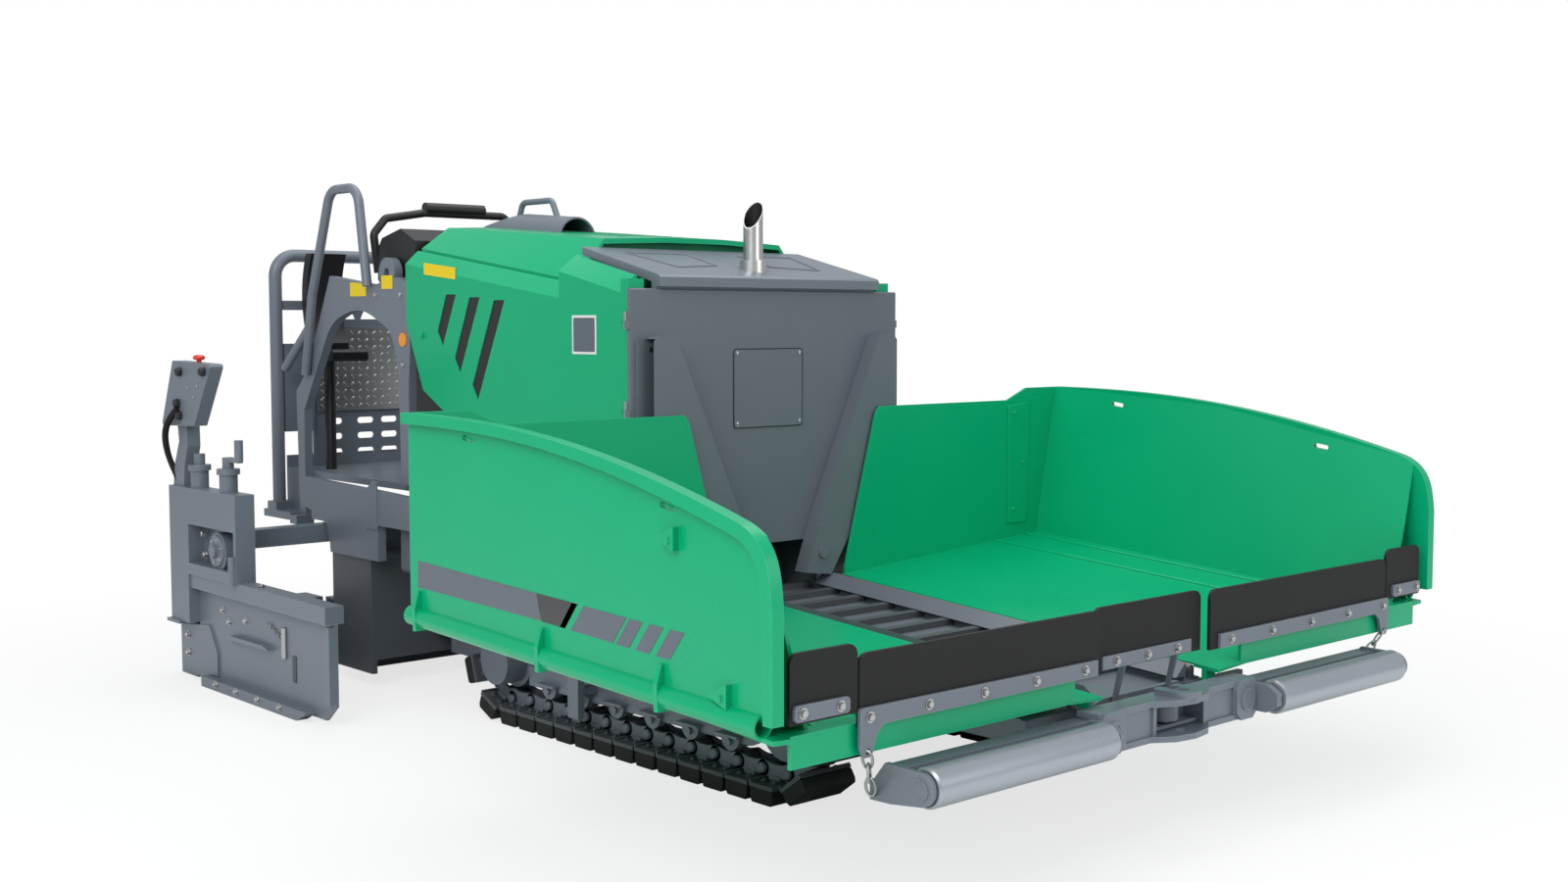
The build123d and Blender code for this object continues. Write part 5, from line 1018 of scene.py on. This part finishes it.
def console_controls(side, word, body):
    """Emergency stop, knobs and studs of one remote console."""
    up, out, face = (0, 0, 1), (0, side, 0), side * 1.281
    stop_x, stop_y = -1.848, side * 1.252
    base = [(0, 0), (0.019, 0), (0.019, 0.010), (0, 0.010)]
    turned_piece(f"stop_base_{word}", base, (stop_x, stop_y, 1.398), up, "dark", body)
    button = [
        (0.010, 0), (0.010, 0.014), (0.024, 0.018), (0.026, 0.028), (0.018, 0.036), (0, 0.038),
    ]
    turned_piece(f"stop_button_{word}", button, (stop_x, stop_y, 1.405), up, "red", body)
    knobs = ((-1.976, 1.367), (-1.735, 1.372), (-2.005, 1.229), (-1.985, 1.175))
    for index, (x, z) in enumerate(knobs):
        turned_piece(f"console_knob_{word}_{index}", knob_profile(0.019, 0.024), (x, face, z),
                     out, "black", body, 20)
    for index, (x, z) in enumerate(((-1.90, 1.30), (-1.84, 1.26), (-1.80, 1.31))):
        turned_piece(f"console_stud_{word}_{index}", knob_profile(0.007, 0.008), (x, face, z),
                     out, "bolt", body, 12)


def cable_ribs(name, cable, body):
    """Raised rings along a ribbed cable."""
    bare = cable.data.copy()
    bare.bevel_depth = 0
    shadow = bpy.data.objects.new("bare_line", bare)
    line = bpy.data.meshes.new_from_object(shadow)
    spots = [vertex.co.copy() for vertex in line.vertices]
    bpy.data.objects.remove(shadow)
    bpy.data.meshes.remove(line)
    places = []
    for here, after in zip(spots, spots[1:]):
        step = after - here
        count = max(1, round(step.length / RIB_PITCH))
        for index in range(count):
            places.append(Matrix.Translation(here + step * (index + 0.5) / count) @ aim(step))
    band = [
        (0.0112, -0.0024), (0.0142, -0.0013), (0.0142, 0.0013), (0.0112, 0.0024),
        (0.0112, -0.0024),
    ]
    return link_new(name, repeated(turned(band, 16), places), "rubber", body, smooth=True)


def add_cables():
    """Ribbed cable from each remote console down into its column's top."""
    for side, word in SIDES:
        body = "extension_" + word
        points = [
            (-1.995, side * 1.292, 1.205), (-2.045, side * 1.306, 1.165),
            (-2.120, side * 1.300, 1.095), (-2.160, side * 1.272, 1.000),
            (-2.130, side * 1.252, 0.920), (-2.090, side * 1.242, 0.861),
        ]
        cable = bent_line("console_cable_" + word, points, CABLE_RADIUS)
        cable.data.materials.append(MATERIALS["rubber"])
        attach(cable, body)
        ribs = cable_ribs("cable_ribs_" + word, cable, body)


add_camera()
add_stage()
dress_nodes()
add_tracks()
add_wing_stripes()
add_hood_details()
add_hopper_details()
add_apron_details()
add_beam_details()
add_stand_details()
add_screed_details()
add_cables()
bpy.context.scene.view_settings.view_transform = "Standard"
